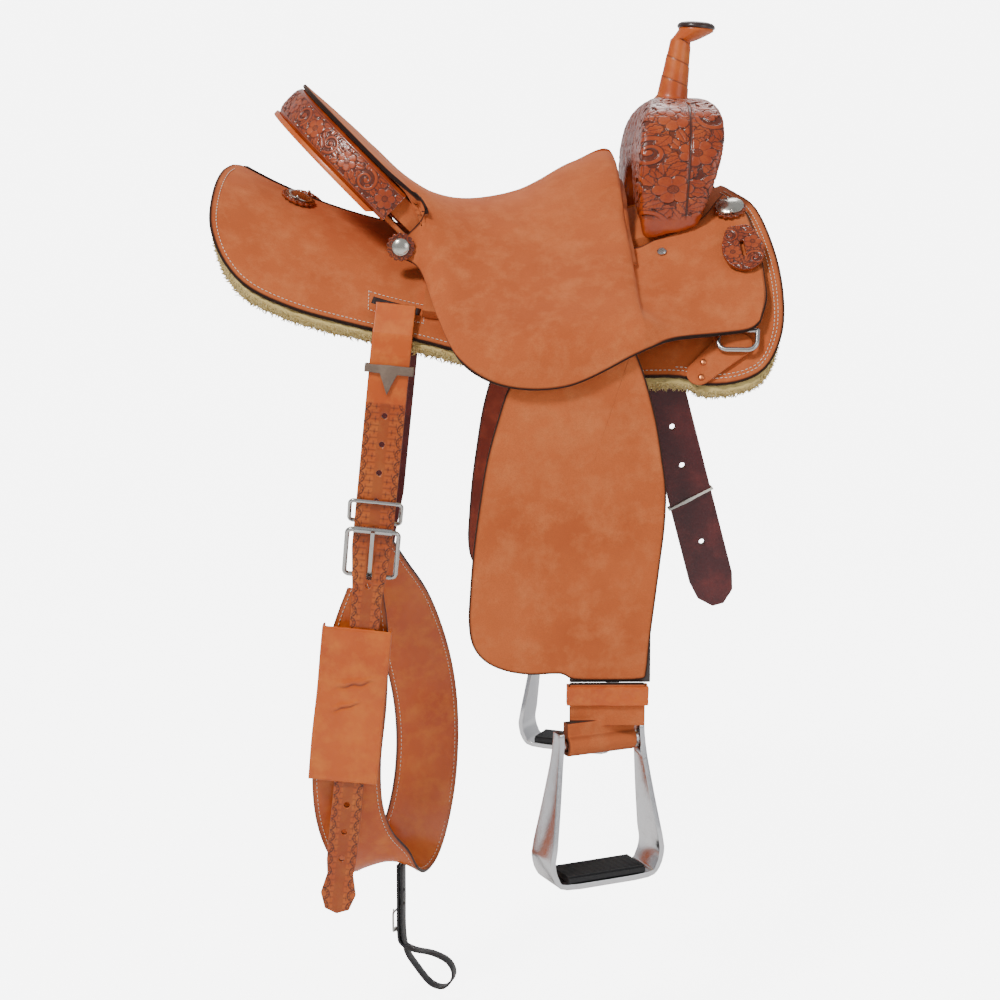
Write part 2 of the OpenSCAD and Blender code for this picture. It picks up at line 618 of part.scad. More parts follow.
// Half outline of the stirrup, [x, z] from the top bar, grown by g
function stirrup_half(g) = let (w = stirrup_w / 2 - 6, h = stirrup_h - 6)
  [[44 + g, 14], [45 + g, -6], [52 + g, -h * 0.42], [w - 2 + g, -h * 0.74], [w + g, -h * 0.85],
    [w - 4 + g * 0.8, -h * 0.95 - g * 0.6], [w - 13, -h - g], [0, -h - g - 1]];
module stirrup_outline(g) {
  side = spline(stirrup_half(g), 3);
  polygon([for (p = side) p, for (i = [len(side) - 2 : -1 : 0]) [-side[i][0], side[i][1]]]);
}
module stirrup() color(steel) stirrup_frame() {
  difference() {
    intersection() {
      along_y(-stirrup_depth / 2, stirrup_depth / 2) stirrup_outline(6);
      // narrow at the top bar, full depth at the sole
      along_x(-90, 90) polygon([[-7, 20], [7, 20], [10, -20], [stirrup_depth / 2, -stirrup_h * 0.7],
        [stirrup_depth / 2, -stirrup_h - 9], [-stirrup_depth / 2, -stirrup_h - 9],
        [-stirrup_depth / 2, -stirrup_h * 0.7], [-10, -20]]);
    }
    along_y(-60, 60) stirrup_outline(0);
  }
  rotate([0, 90, 0]) cylinder(r = bar_r, h = 92, center = true, $fn = 64);
}
module stirrup_right() stirrup();
module stirrup_left() left() stirrup();

// Ribbed rubber tread on the sole
tread_w = stirrup_w - 44;
module stirrup_tread() color("#26262a") stirrup_frame() translate([0, 0, -stirrup_h + 6 + gap / 2]) {
  translate([-tread_w / 2, -stirrup_depth / 2 + 2, 0]) cube([tread_w, stirrup_depth - 4, 5]);
  for (i = [-5 : 5]) translate([-tread_w / 2, i * 3.6 - 1, 4]) cube([tread_w, 2, 3]);
}
module stirrup_tread_right() stirrup_tread();
module stirrup_tread_left() left() stirrup_tread();

// ---------- off billet ----------

off_x = 158;       // it swings about this point under the skirt
off_z = -110;
off_y = 197;
off_lean = -15;
off_t = 10;
module off_frame() translate([off_x, -off_y, off_z]) rotate([0, off_lean, 0]) children();
off_side = [[-14, 8], [14, 8], [22, -4], [23, -20], [23, -236], [19, -254], [6, -266], [-6, -266], [-19, -254],
  [-23, -236], [-23, -20], [-22, -4]];
module off_billet() color(burgundy) off_frame() difference() {
  along_y(-off_t, 0) polygon(off_side);
  for (z = [-70, -112, -196]) translate([0, 1, z]) rotate([90, 0, 0]) cylinder(r = hole_r, h = off_t + 2, $fn = 32);
}
// Loop of string round the folded strap
module off_billet_tie() color("#e9e6dc") off_frame() translate([0, -off_t / 2, -150]) rotate([0, -12, 0])
  linear_extrude(3) difference() {
    square([52, off_t + 6], center = true);
    square([49, off_t + 1.4], center = true);
  }

// ---------- rear billets ----------

billet_y = 205;    // inner face where the strap hangs clear of the skirt
billet_t = 5.5;
module billet_frame() translate([slot_x, 0, slot_z]) rotate([0, billet_lean, 0]) children();

// A strap that leaves its slot, lies over the skirt and hangs straight down, [y, z]
module billet_path(len) {
  y0 = -billet_y;
  polygon([[y0 + 22, 3], [y0 + 4, -30], [y0, -48], [y0, -len], [y0 - billet_t, -len],
    [y0 - billet_t, -46], [y0 - 1, -24], [y0 + 18, 6]]);
}
module billet_strap(len) intersection() {
  along_x(-billet_w / 2, billet_w / 2) billet_path(len);
  along_y(-260, -150) {
    w = billet_w / 2;
    polygon([[-w, 20], [w, 20], [w, -250], [w - 5, -300], [w - 5, -len + 60], [w - 7, -len + 44],
      [w - 2, -len + 22], [w - 8, -len + 5], [0, -len], [-w + 8, -len + 5], [-w + 2, -len + 22],
      [-w + 7, -len + 44], [-w + 5, -len + 60], [-w + 5, -300], [-w, -250]]);
  }
}
module billet(len, holes) difference() {
  billet_strap(len);
  for (z = holes) translate([0, -190, z]) rotate([90, 0, 0]) cylinder(r = hole_r, h = 40, $fn = 32);
}
right_holes = [for (i = [0 : 16]) if (i != 5 && i != 7) -110 - i * hole_pitch];
left_holes = [for (i = [0 : 8]) -110 - i * hole_pitch];
left_billet_len = 480;
// The hole that holds the tongue is worn long
module rear_billet_right() color(smooth_leather) billet_frame() difference() {
  billet(billet_len, right_holes);
  translate([-3, -230, buckle_z - 28]) cube([6, 40, 30]);
}
module rear_billet_left() color(burgundy) left() billet_frame() billet(left_billet_len, left_holes);

// Lace passed round the billet and tied, with its hanging tab
module billet_lace() color("#6d5b4e") billet_frame() translate([0, -billet_y - billet_t / 2, -66]) {
  linear_extrude(9) difference() {
    square([billet_w + 9, billet_t + 7], center = true);
    square([billet_w + 1, billet_t + 0.8], center = true);
  }
  translate([0, -billet_t / 2 - 0.4, 0]) rotate([90, 0, 0]) linear_extrude(3) polygon([[-11, 5], [11, 5], [0, -22]]);
}
module billet_lace_right() billet_lace();
module billet_lace_left() left() billet_lace();

// ---------- flank cinch ----------

// Solid strap through points p, its width w[i] lying along the direction d[i]
module ribbon(p, d, w, thick) {
  n = len(p);
  corner = function (i) let (t = p[min(i + 1, n - 1)] - p[max(i - 1, 0)], v = d[i] / norm(d[i]) * w[i] / 2,
    c = cross(t, v), u = c / norm(c) * thick / 2) [p[i] - v - u, p[i] + v - u, p[i] + v + u, p[i] - v + u];
  polyhedron([for (i = [0 : n - 1]) each corner(i)], [
    [0, 1, 2], [0, 2, 3],
    for (i = [0 : n - 2]) for (k = [0 : 3]) let (a = 4 * i + k, b = 4 * i + (k + 1) % 4) each
      [[a, a + 4, b], [b, a + 4, b + 4]],
    [4 * n - 4, 4 * n - 2, 4 * n - 3], [4 * n - 4, 4 * n - 1, 4 * n - 2]]);
}
// Centre line of the cinch from the lower buckle, round the bottom, to the upper buckle
cinch_route = [[-146, -195, -352], [-152, -195, -400], [-161, -195, -470], [-168, -194, -540], [-166, -184, -600],
  [-152, -160, -648], [-128, -128, -672], [-104, -98, -660], [-90, -78, -616], [-84, -68, -560],
  [-86, -72, -500], [-96, -92, -440], [-112, -124, -380], [-128, -160, -334], [-137, -188, -300]];
// Direction of its width, and its width there
cinch_across = [[1, 0, 0], [1, 0, 0], [1, 0, 0], [1, 0.04, 0], [1, 0.14, 0],
  [1, 0.26, 0], [1, 0.34, 0], [1, 0.38, 0], [1, 0.38, 0.02], [1, 0.36, 0.04],
  [1, 0.32, 0.06], [1, 0.24, 0.08], [1, 0.14, 0.08], [1, 0.06, 0.06], [1, 0.02, 0.06]];
cinch_part = [0.52, 0.82, 1, 1, 1, 1, 1, 1, 1, 1, 1, 0.98, 0.9, 0.72, 0.52];
cinch_t = 5;
module flank_cinch() color(smooth_leather) {
  widths = [for (v = spline([for (f = cinch_part) [f, 0]], 3)) v[0] * cinch_w];
  ribbon(spline(cinch_route, 3), spline(cinch_across, 3), widths, cinch_t);
}

// Pocket sewn to the cinch that holds the billet's tail
pocket_top = -336;
pocket_len = 168;
module cinch_pocket() color(smooth_leather) billet_frame()
  translate([-7, -billet_y + 6.4, pocket_top - pocket_len]) linear_extrude(pocket_len) difference() {
    translate([-cinch_w / 2, -17]) square([cinch_w, 17]);
    translate([-cinch_w / 2 + 3, -14]) square([cinch_w - 6, 20]);
  }

// Wire frame, width w and height h, in its own x-z plane, with rounded corners
module wire_frame(w, h, r) {
  c = 2 * r;
  for (s = [-1, 1]) {
    translate([0, 0, s * h / 2]) rotate([0, 90, 0]) cylinder(r = r, h = w - 2 * c, center = true, $fn = 32);
    translate([s * w / 2, 0, 0]) cylinder(r = r, h = h - 2 * c, center = true, $fn = 32);
    for (v = [-1, 1]) translate([s * (w / 2 - c), 0, v * (h / 2 - c)]) rotate([90, 0, 0])
      rotate_extrude(start = s > 0 ? (v > 0 ? 0 : 270) : (v > 0 ? 90 : 180), angle = 90, $fn = 32)
        translate([c, 0]) circle(r = r, $fn = 32);
  }
}
buckle_w = 54;
buckle_h = 54;
buckle_wire = 2.5;
buckle_z = -256;
buckle_tilt = 19.5;
buckle_y = billet_y + 1.2;
module lower_frame() billet_frame() translate([0, -buckle_y, buckle_z]) rotate([buckle_tilt, 0, 0]) children();
module lower_buckle() color(steel) lower_frame() wire_frame(buckle_w, buckle_h, buckle_wire);
module buckle_roller() color(steel) lower_frame() translate([0, 0, buckle_h / 2]) rotate([0, 90, 0])
  difference() {
    cylinder(r = 4, h = 40, center = true, $fn = 48);
    cylinder(r = buckle_wire + 0.25, h = 42, center = true, $fn = 48);
  }
// Tongue: an eye on the lower bar and a rod that lies on the roller
module buckle_tongue() color(steel) lower_frame() translate([0, 0, -buckle_h / 2]) difference() {
  union() {
    rotate([0, 90, 0]) cylinder(r = 5, h = 5, center = true, $fn = 48);
    rotate([6, 0, 0]) translate([-2, -6, 3]) cube([4, 3.2, 56]);
  }
  rotate([0, 90, 0]) cylinder(r = buckle_wire + 0.25, h = 8, center = true, $fn = 48);
}
upper_z = -212;
module upper_buckle() color(steel) billet_frame() translate([0, -buckle_y - 0.5, upper_z])
  rotate([34, 0, 0]) wire_frame(buckle_w, 28, 2.2);

// ---------- connector strap ----------

hang_x = -112;
hang_y = -128;
hang_z = -677;
strap_t = 2.4;
strap_across = [0.3, 0.95, 0];
// Loop of the strap: down the left side, out through its buckle, round and back
strap_route = [[-3, 0, 0], [-3, 0, -40], [-3, 0, -78], [0, 0, -92], [14, -1, -100], [34, -2, -104],
  [52, -2, -114], [58, -2, -130], [48, -1, -144], [32, 0, -140], [16, 1, -120], [5, 2, -102],
  [1.4, 1, -78], [1.4, 0, -40], [1.4, 0, 0]];
module connector_strap() color("#1d1c1e") translate([hang_x, hang_y, hang_z]) {
  line = spline(strap_route, 3);
  ribbon(line, [for (p = line) strap_across], [for (p = line) 12], strap_t);
  for (z = [-30, -46]) translate([-0.8, 0, z]) rotate([0, 90, -17.5]) cylinder(r = 1.6, h = 8.4, center = true, $fn = 24);
}
module strap_frame() translate([hang_x, hang_y, hang_z]) rotate([0, 0, -17.5]) translate([-7.4, 0, -66])
  rotate([0, 0, 90]) children();
module connector_buckle() color(steel) strap_frame() wire_frame(19, 22, 1.2);
module connector_tongue() color(steel) strap_frame() translate([0, 0, -11]) difference() {
  union() {
    rotate([0, 90, 0]) cylinder(r = 2.6, h = 3, center = true, $fn = 32);
    translate([-0.9, 2.4, 0]) cube([1.8, 1.2, 23]);
  }
  rotate([0, 90, 0]) cylinder(r = 1.4, h = 5, center = true, $fn = 32);
}

bar_right();
bar_left();
fork();
cantle_board();
horn_core();
ground_seat();
fleece_right();
fleece_left();
skirt_right();
skirt_left();
seat_leather();
cantle_roll();
cantle_binding();
cantle_back();
swell_cover();
horn_wrap();
horn_cap();
conchos_oval();
conchos_round();
rosettes();
latigo_keeper_right();
latigo_keeper_left();
jockey_screws();
rigging_plate_right();
rigging_plate_left();
rigging_dee_right();
rigging_dee_left();
rigging_rivets();
bar_loop_right();
bar_loop_left();
fender_top_right();
fender_top_left();
fender_right();
fender_left();
stirrup_leather_right();
stirrup_leather_left();
lower_wrap_right();
lower_wrap_left();
keeper_band_right();
keeper_band_left();
stirrup_right();
stirrup_left();
stirrup_tread_right();
stirrup_tread_left();
off_billet();
off_billet_tie();
rear_billet_right();
rear_billet_left();
billet_lace_right();
billet_lace_left();
flank_cinch();
cinch_pocket();
upper_buckle();
lower_buckle();
buckle_tongue();
buckle_roller();
connector_strap();
connector_buckle();
connector_tongue();
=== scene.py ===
import bpy, json, math
import numpy as np
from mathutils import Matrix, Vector

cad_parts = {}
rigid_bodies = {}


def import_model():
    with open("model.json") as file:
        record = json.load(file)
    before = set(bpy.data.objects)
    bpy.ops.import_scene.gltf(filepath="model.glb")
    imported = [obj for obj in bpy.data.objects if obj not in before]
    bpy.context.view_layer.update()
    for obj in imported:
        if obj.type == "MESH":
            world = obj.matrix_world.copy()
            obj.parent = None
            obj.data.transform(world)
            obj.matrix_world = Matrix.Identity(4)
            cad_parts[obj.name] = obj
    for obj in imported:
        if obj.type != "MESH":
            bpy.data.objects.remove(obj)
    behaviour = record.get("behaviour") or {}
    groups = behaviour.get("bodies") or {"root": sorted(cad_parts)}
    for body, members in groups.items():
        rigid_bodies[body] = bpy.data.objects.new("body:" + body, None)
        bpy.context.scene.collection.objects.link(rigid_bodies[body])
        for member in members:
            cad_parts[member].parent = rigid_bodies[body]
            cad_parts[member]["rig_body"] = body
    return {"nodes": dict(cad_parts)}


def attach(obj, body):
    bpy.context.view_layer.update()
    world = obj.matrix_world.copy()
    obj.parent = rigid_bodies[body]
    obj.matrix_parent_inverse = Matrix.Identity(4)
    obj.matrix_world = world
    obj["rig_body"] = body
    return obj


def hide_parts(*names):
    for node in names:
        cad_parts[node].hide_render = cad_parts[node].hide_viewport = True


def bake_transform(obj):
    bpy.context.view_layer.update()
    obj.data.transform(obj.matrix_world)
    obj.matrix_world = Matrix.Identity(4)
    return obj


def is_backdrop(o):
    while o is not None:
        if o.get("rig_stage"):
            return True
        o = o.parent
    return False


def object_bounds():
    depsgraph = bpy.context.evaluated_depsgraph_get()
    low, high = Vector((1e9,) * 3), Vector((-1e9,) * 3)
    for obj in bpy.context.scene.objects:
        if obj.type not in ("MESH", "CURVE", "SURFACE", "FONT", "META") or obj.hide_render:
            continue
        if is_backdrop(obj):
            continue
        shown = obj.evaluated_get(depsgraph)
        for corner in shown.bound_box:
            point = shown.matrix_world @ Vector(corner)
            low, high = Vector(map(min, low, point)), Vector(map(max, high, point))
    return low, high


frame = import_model()
cad_lo, cad_hi = (list(v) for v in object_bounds())
NODES = frame["nodes"]
MM = 0.001
SIDES = (("right", -1), ("left", 1))

# ---------- camera ----------
cam_data = bpy.data.cameras.new("camera")
cam = bpy.data.objects.new("camera", cam_data)
bpy.context.scene.collection.objects.link(cam)
CAM_PLACE = (-0.0393, -2.2497, 0.0584)
CAM_TILT, CAM_PAN = 81.3, -1.0
CAM_SENSOR, CAM_LENS, CAM_NEAR = 36, 71.1, 0.05
cam.location = CAM_PLACE
cam.rotation_euler = (math.radians(CAM_TILT), 0, math.radians(CAM_PAN))
cam_data.sensor_width = CAM_SENSOR
cam_data.lens = CAM_LENS
cam_data.clip_start = CAM_NEAR
bpy.context.scene.camera = cam

# ---------- materials ----------
def node_tree(name):
    m = bpy.data.materials.new(name)
    m.use_nodes = True
    t = m.node_tree
    t.nodes.clear()
    out = t.nodes.new("ShaderNodeOutputMaterial")
    b = t.nodes.new("ShaderNodeBsdfPrincipled")
    t.links.new(b.outputs[0], out.inputs[0])
    return m, t, b


def noise(t, scale, detail=4, rough=0.6, stretch=None, kind="NOISE"):
    pos = t.nodes.new("ShaderNodeTexCoord").outputs["Object"]
    if stretch:
        mp = t.nodes.new("ShaderNodeMapping")
        mp.inputs["Scale"].default_value = stretch
        t.links.new(pos, mp.inputs[0])
        pos = mp.outputs[0]
    if kind == "NOISE":
        n = t.nodes.new("ShaderNodeTexNoise")
        n.inputs["Detail"].default_value = detail
        n.inputs["Roughness"].default_value = rough
        out = n.outputs["Fac"]
    else:
        n = t.nodes.new("ShaderNodeTexVoronoi")
        out = n.outputs["Distance"]
    n.inputs["Scale"].default_value = scale
    t.links.new(pos, n.inputs["Vector"])
    return out


def remap(t, value, a, b, c, d):
    r = t.nodes.new("ShaderNodeMapRange")
    for k, v in zip(("From Min", "From Max", "To Min", "To Max"), (a, b, c, d)):
        r.inputs[k].default_value = v
    t.links.new(value, r.inputs["Value"])
    return r.outputs[0]


def mix(t, fac, a, b, mode="MIX"):
    m = t.nodes.new("ShaderNodeMix")
    m.data_type = "RGBA"
    m.blend_type = mode
    for sock, v in ((m.inputs[0], fac), (m.inputs[6], a), (m.inputs[7], b)):
        if isinstance(v, (int, float)):
            sock.default_value = v
        elif isinstance(v, tuple):
            sock.default_value = (*v, 1)
        else:
            t.links.new(v, sock)
    return m.outputs[2]


def bump(t, b, height, dist, strength=1.0, prev=None):
    n = t.nodes.new("ShaderNodeBump")
    n.inputs["Distance"].default_value = dist
    n.inputs["Strength"].default_value = strength
    t.links.new(height, n.inputs["Height"])
    if prev is not None:
        t.links.new(prev, n.inputs["Normal"])
    t.links.new(n.outputs[0], b.inputs["Normal"])
    return n.outputs[0]


def lin(r, g, b):
    f = lambda c: (c / 255 / 12.92) if c <= 10 else ((c / 255 + 0.055) / 1.055) ** 2.4
    return (f(r), f(g), f(b))


def attribute(t, name):
    a = t.nodes.new("ShaderNodeAttribute")
    a.attribute_name = name
    return a.outputs["Fac"]


def leather(name, base, dark, light, rough, nap=0.0, coat=0.0, edge=(60, 38, 32), cut_shade=None, grain=0.00012):
    m, t, b = node_tree(name)
    big = noise(t, 9, 3)
    mid = noise(t, 42, 5, 0.65)
    fine = noise(t, 900 if nap else 420, 3, 0.7)
    c = mix(t, remap(t, big, 0.32, 0.68, 0, 1), lin(*dark), lin(*base))
    c = mix(t, remap(t, mid, 0.45, 0.75, 0, 0.75), c, lin(*light))
    if nap:
        c = mix(t, remap(t, fine, 0.35, 0.7, 0, 0.35), c, lin(*[v * 0.72 for v in base]))
    # painted shade: where the tool attribute is high, the leather is mixed towards a near-black colour in the cuts and
    # background of its tooling and stamping
    if cut_shade:
        c = mix(t, attribute(t, "tool"), c, lin(*cut_shade))
    # the edge colour darkens the leather's cut edges; on the cinch pocket the edge attribute also paints shade along
    # the creases
    c = mix(t, attribute(t, "edge"), c, lin(*edge))
    t.links.new(c, b.inputs["Base Color"])
    r = remap(t, mid, 0.3, 0.7, rough - 0.07, rough + 0.07)
    t.links.new(r, b.inputs["Roughness"])
    first = bump(t, b, fine, grain, 0.9)
    bump(t, b, noise(t, 150, 4), 0.0002, 0.5, first)
    if nap:
        b.inputs["Sheen Weight"].default_value = nap
        b.inputs["Sheen Roughness"].default_value = 0.45
        b.inputs["Sheen Tint"].default_value = (*lin(250, 205, 170), 1)
        b.inputs["Specular IOR Level"].default_value = 0.25
    if coat:
        b.inputs["Coat Weight"].default_value = coat
        b.inputs["Coat Roughness"].default_value = 0.16
    return m


def metal(name, colour, rough, scratch=0.05, spec=1.0, bumpy=0.00004, dirt=(70, 62, 52), dirt_amount=0.25):
    m, t, b = node_tree(name)
    n = noise(t, 60, 6, 0.7)
    c = mix(t, remap(t, n, 0.5, 0.8, 0, dirt_amount), lin(*colour), lin(*dirt))
    t.links.new(c, b.inputs["Base Color"])
    b.inputs["Metallic"].default_value = spec
    t.links.new(remap(t, noise(t, 240, 5, 0.8), 0.3, 0.75, rough, rough + scratch * 3), b.inputs["Roughness"])
    bump(t, b, noise(t, 700, 4), bumpy, 0.5)
    return m


def plain(name, colour, rough, scale=300, amount=0.4, dist=0.0002, sheen=0.0):
    m, t, b = node_tree(name)
    n = noise(t, scale, 5, 0.7)
    t.links.new(mix(t, remap(t, n, 0.3, 0.7, 0, amount), lin(*colour), lin(*[v * 0.6 for v in colour])),
                b.inputs["Base Color"])
    t.links.new(remap(t, n, 0.3, 0.7, rough - 0.08, rough + 0.08), b.inputs["Roughness"])
    bump(t, b, n, dist, 0.8)
    if sheen:
        b.inputs["Sheen Weight"].default_value = sheen
    return m


MAT = {
    "roughout": leather("roughout_leather", (208, 108, 58), (190, 92, 46), (220, 128, 78), 0.9, nap=0.16,
                        edge=(36, 20, 16)),
    # smooth and tooled leather carry a dark colour for painted shade in the cuts of their stamping and tooling
    "smooth": leather("smooth_leather", (212, 98, 22), (188, 76, 14), (224, 122, 40), 0.42, coat=0.18,
        cut_shade=(54, 22, 8),
                      edge=(44, 22, 14)),
    "tooled": leather("tooled_leather", (176, 70, 18), (140, 48, 12), (204, 96, 34), 0.34, coat=0.42,
                      cut_shade=(16, 6, 4)),
    "dark": leather("dark_leather", (52, 32, 28), (36, 24, 22), (74, 48, 40), 0.33, coat=0.5, edge=(20, 14, 12)),
    "burgundy": leather("burgundy_leather", (84, 22, 24), (60, 14, 18), (112, 36, 32), 0.34, coat=0.35,
                        edge=(40, 16, 16)),
    "lace": leather("lace_leather", (128, 108, 92), (104, 86, 74), (150, 130, 112), 0.6),
    "black": leather("black_leather", (30, 28, 30), (20, 19, 20), (48, 45, 46), 0.42, coat=0.2, edge=(12, 12, 12)),
    "red_lining": leather("fender_inner_leather", (140, 48, 24), (112, 34, 18), (162, 64, 34), 0.45, coat=0.12),
    "fleece": plain("fleece", (232, 204, 128), 0.95, 260, 0.3, 0.0012, sheen=0.4),
    "thread": plain("thread", (236, 226, 204), 0.75, 900, 0.3),
    "thread_dark": plain("dark_thread", (64, 40, 30), 0.75, 900, 0.3),
    "string": plain("string", (232, 228, 216), 0.8, 700, 0.3),
    "rubber": plain("tread_rubber", (34, 34, 36), 0.62, 500, 0.5),
    "silver": metal("silver", (216, 212, 200), 0.16, dirt=(46, 44, 40), dirt_amount=0.55),
    "nickel": metal("buckle_nickel", (200, 198, 194), 0.17, dirt_amount=0.35),
    "aluminium": metal("stirrup_aluminium", (222, 222, 224), 0.13, dirt=(120, 120, 124), dirt_amount=0.25),
    "copper": metal("copper", (214, 130, 84), 0.28),
    "steel_dark": metal("tree_steel", (90, 90, 94), 0.4),
}

# ---------- meshes ----------
def mesh(name, verts, faces, mat, body=None, replaces=(), attrs=None, smooth=True):
    me = bpy.data.meshes.new(name)
    me.from_pydata(np.asarray(verts, float) * MM, [], np.asarray(faces).tolist() if not isinstance(faces,
        list) else faces)
    me.validate()
    if smooth:
        me.polygons.foreach_set("use_smooth", np.ones(len(me.polygons), bool))
    for k, v in (attrs or {}).items():
        a = me.attributes.new(k, "FLOAT", "POINT")
        a.data.foreach_set("value", np.clip(np.asarray(v, np.float32), 0, 1))
    me.update()
    o = bpy.data.objects.new(name, me)
    bpy.context.scene.collection.objects.link(o)
    me.materials.append(mat)
    if body:
        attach(o, body)
    if replaces:
        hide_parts(*replaces)
    return o


def mirror(v):
    w = np.array(v, float)
    w[:, 1] *= -1
    return w


def flip(faces):
    return [list(f)[::-1] for f in faces]


def span(a, b, c, d, t):
    return 0.5 * (2 * b + (c - a) * t + (2 * a - 5 * b + 4 * c - d) * t * t + (3 * b - a - 3 * c + d) * t ** 3)


def spline_at(p, t):
    """Open Catmull-Rom spline through the rows of p, at parameters t."""
    p = np.asarray(p, float)
    m = len(p) - 1
    t = np.clip(np.asarray(t, float), 0, m)
    i = np.minimum(t.astype(int), m - 1)
    f = (t - i).reshape((-1,) + (1,) * (p.ndim - 1))
    return span(p[np.maximum(i - 1, 0)], p[i], p[i + 1], p[np.minimum(i + 2, m)], f)


def ring_at(p, n):
    """Closed Catmull-Rom spline through p, n steps a span."""
    p = np.asarray(p, float)
    m = len(p)
    out = []
    for i in range(m):
        for k in range(n):
            out.append(span(p[i - 1], p[i], p[(i + 1) % m], p[(i + 2) % m], k / n))
    return np.array(out)


def resample(p, step, closed=True):
    q = np.vstack([p, p[:1]]) if closed else np.asarray(p, float)
    d = np.r_[0, np.cumsum(np.linalg.norm(np.diff(q, axis=0), axis=1))]
    n = max(int(d[-1] / step), 4)
    s = np.linspace(0, d[-1], n + 1)[: n if closed else n + 1]
    return np.stack([np.interp(s, d, q[:, k]) for k in range(q.shape[1])], 1)


def smooth_noise(p, scale, seed):
    """Cheap smooth noise from sums of sines, about -1 to 1."""
    r = np.random.default_rng(seed)
    v = np.zeros(len(p))
    for _ in range(7):
        k = r.normal(size=p.shape[1])
        k /= np.linalg.norm(k)
        v += np.sin(p @ k * 2 * math.pi / (scale * r.uniform(0.7, 1.5)) + r.uniform(0, 6.28))
    return v / 3.2


def plate(outline, centre, surface, thick, step=2.5, fill=26, edge_w=2.3, top=None):
    """Closed sheet with rounded, darkened edges, from an outline that can be seen whole from its centre.
    surface(p) gives the middle surface's points for outline-plane points p."""
    o = resample(outline, step)
    n = len(o)
    tang = np.roll(o, -1, 0) - np.roll(o, 1, 0)
    tang /= np.linalg.norm(tang, axis=1)[:, None]
    nor = np.stack([-tang[:, 1], tang[:, 0]], 1)
    area = 0.5 * np.sum(o[:, 0] * np.roll(o[:, 1], -1) - o[:, 1] * np.roll(o[:, 0], -1))
    if area < 0:
        nor = -nor
    half = thick / 2
    insets = np.array([0, 0.12, 0.35, 0.7, 1.0, 1.6, 2.6, 4.2]) * 1.0
    rings2, dist, height = [], [], []
    for d in insets:
        rings2.append(o + nor * d)
        dist.append(np.full(n, d))
        height.append(np.full(n, half * math.sqrt(max(0, 1 - (1 - min(d / min(half, 1.4), 1)) ** 2))))
    base = rings2[-1]
    for f in np.linspace(1, 0, fill + 1)[1:-1]:
        f = f ** 0.85
        rings2.append(centre + (base - centre) * f)
        dist.append(insets[-1] + (1 - f) * np.linalg.norm(base - centre, axis=1))
        height.append(np.full(n, half))
    flat = np.vstack(rings2 + [np.array([centre])])
    dist = np.r_[np.concatenate(dist), 1e3]
    height = np.r_[np.concatenate(height), half]
    k = len(rings2)
    mid = surface(flat)
    e = 0.5
    du = surface(flat + [e, 0]) - surface(flat - [e, 0])
    dv = surface(flat + [0, e]) - surface(flat - [0, e])
    nn = np.cross(du, dv)
    nn /= np.linalg.norm(nn, axis=1)[:, None]
    h_top = height + (top(flat, dist) if top else 0)
    front = mid + nn * h_top[:, None]
    back = mid - nn * height[:, None]
    m = len(flat)
    # the outermost ring is shared
    back_index = np.r_[np.arange(n), np.arange(m, m + m - n)]
    verts = np.vstack([front, back[n:]])
    q = []
    a = np.arange(n)
    b = (a + 1) % n
    for r in range(k - 1):
        q.append(np.stack([r * n + a, r * n + b, (r + 1) * n + b, (r + 1) * n + a], 1))
    faces = np.vstack(q)
    last = (k - 1) * n
    tri = np.stack([last + a, last + b, np.full(n, m - 1)], 1)
    fb = back_index[faces][:, ::-1]
    tb = back_index[tri][:, ::-1]
    all_faces = faces.tolist() + tri.tolist() + fb.tolist() + tb.tolist()
    edge = np.exp(-(np.r_[dist, dist[n:]] / edge_w) ** 4)
    info = {"outline": o, "normal": nor, "surface": surface, "half": half}
    if area < 0:
        all_faces = flip(all_faces)
    return verts, all_faces, {"edge": edge}, info


def surface_points(surface, flat, lift):
    e = 0.5
    du = surface(flat + [e, 0]) - surface(flat - [e, 0])
    dv = surface(flat + [0, e]) - surface(flat - [0, e])
    nn = np.cross(du, dv)
    nn /= np.linalg.norm(nn, axis=1)[:, None]
    return surface(flat) + nn * lift, nn



def stitches(name, lines, mat, body, pitch=4.4, length=2.9, radius=0.42, blend=None):
    """Rows of thread: lines is a list of (points, normals) in mm."""
    ring_n = 6
    prof = [(-0.5, 0.02), (-0.42, 0.75), (-0.2, 1.0), (0.2, 1.0), (0.42, 0.75), (0.5, 0.02)]
    ang = np.arange(ring_n) * 2 * math.pi / ring_n
    V, F, count = [], [], 0
    base_f = []
    for i in range(len(prof) - 1):
        for j in range(ring_n):
            k = (j + 1) % ring_n
            base_f.append([i * ring_n + j, i * ring_n + k, (i + 1) * ring_n + k, (i + 1) * ring_n + j])
    base_f = np.array(base_f)
    for pts, nor in lines:
        d = np.r_[0, np.cumsum(np.linalg.norm(np.diff(pts, axis=0), axis=1))]
        s = np.arange(pitch / 2, d[-1], pitch)
        if len(s) < 1:
            continue
        at = lambda q: np.stack([np.interp(q, d, pts[:, k]) for k in range(3)], 1)
        c = at(s)
        t = at(s + 0.5) - at(s - 0.5)
        t /= np.maximum(np.linalg.norm(t, axis=1)[:, None], 1e-9)
        nn = np.stack([np.interp(s, d, nor[:, k]) for k in range(3)], 1)
        nn /= np.linalg.norm(nn, axis=1)[:, None]
        w = np.cross(t, nn)
        for i in range(len(c)):
            vs = []
            for f, r in prof:
                p = c[i] + t[i] * f * length + nn[i] * (0.25 - 1.2 * abs(f) ** 2.5) * radius
                vs.append(p + radius * r * (np.cos(ang)[:, None] * w[i] + np.sin(ang)[:, None] * nn[i]))
            V.append(np.vstack(vs))
            F.append(base_f + count)
            count += len(V[-1])
    o = mesh(name, np.vstack(V), np.vstack(F), mat)
    if blend:
        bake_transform(o)
    else:
        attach(o, body)
    return o


# Radius of a strap's rounded edge, and how far from the edge the middle of its width starts
EDGE_R = 1.3
EDGE_BAND = 1.6


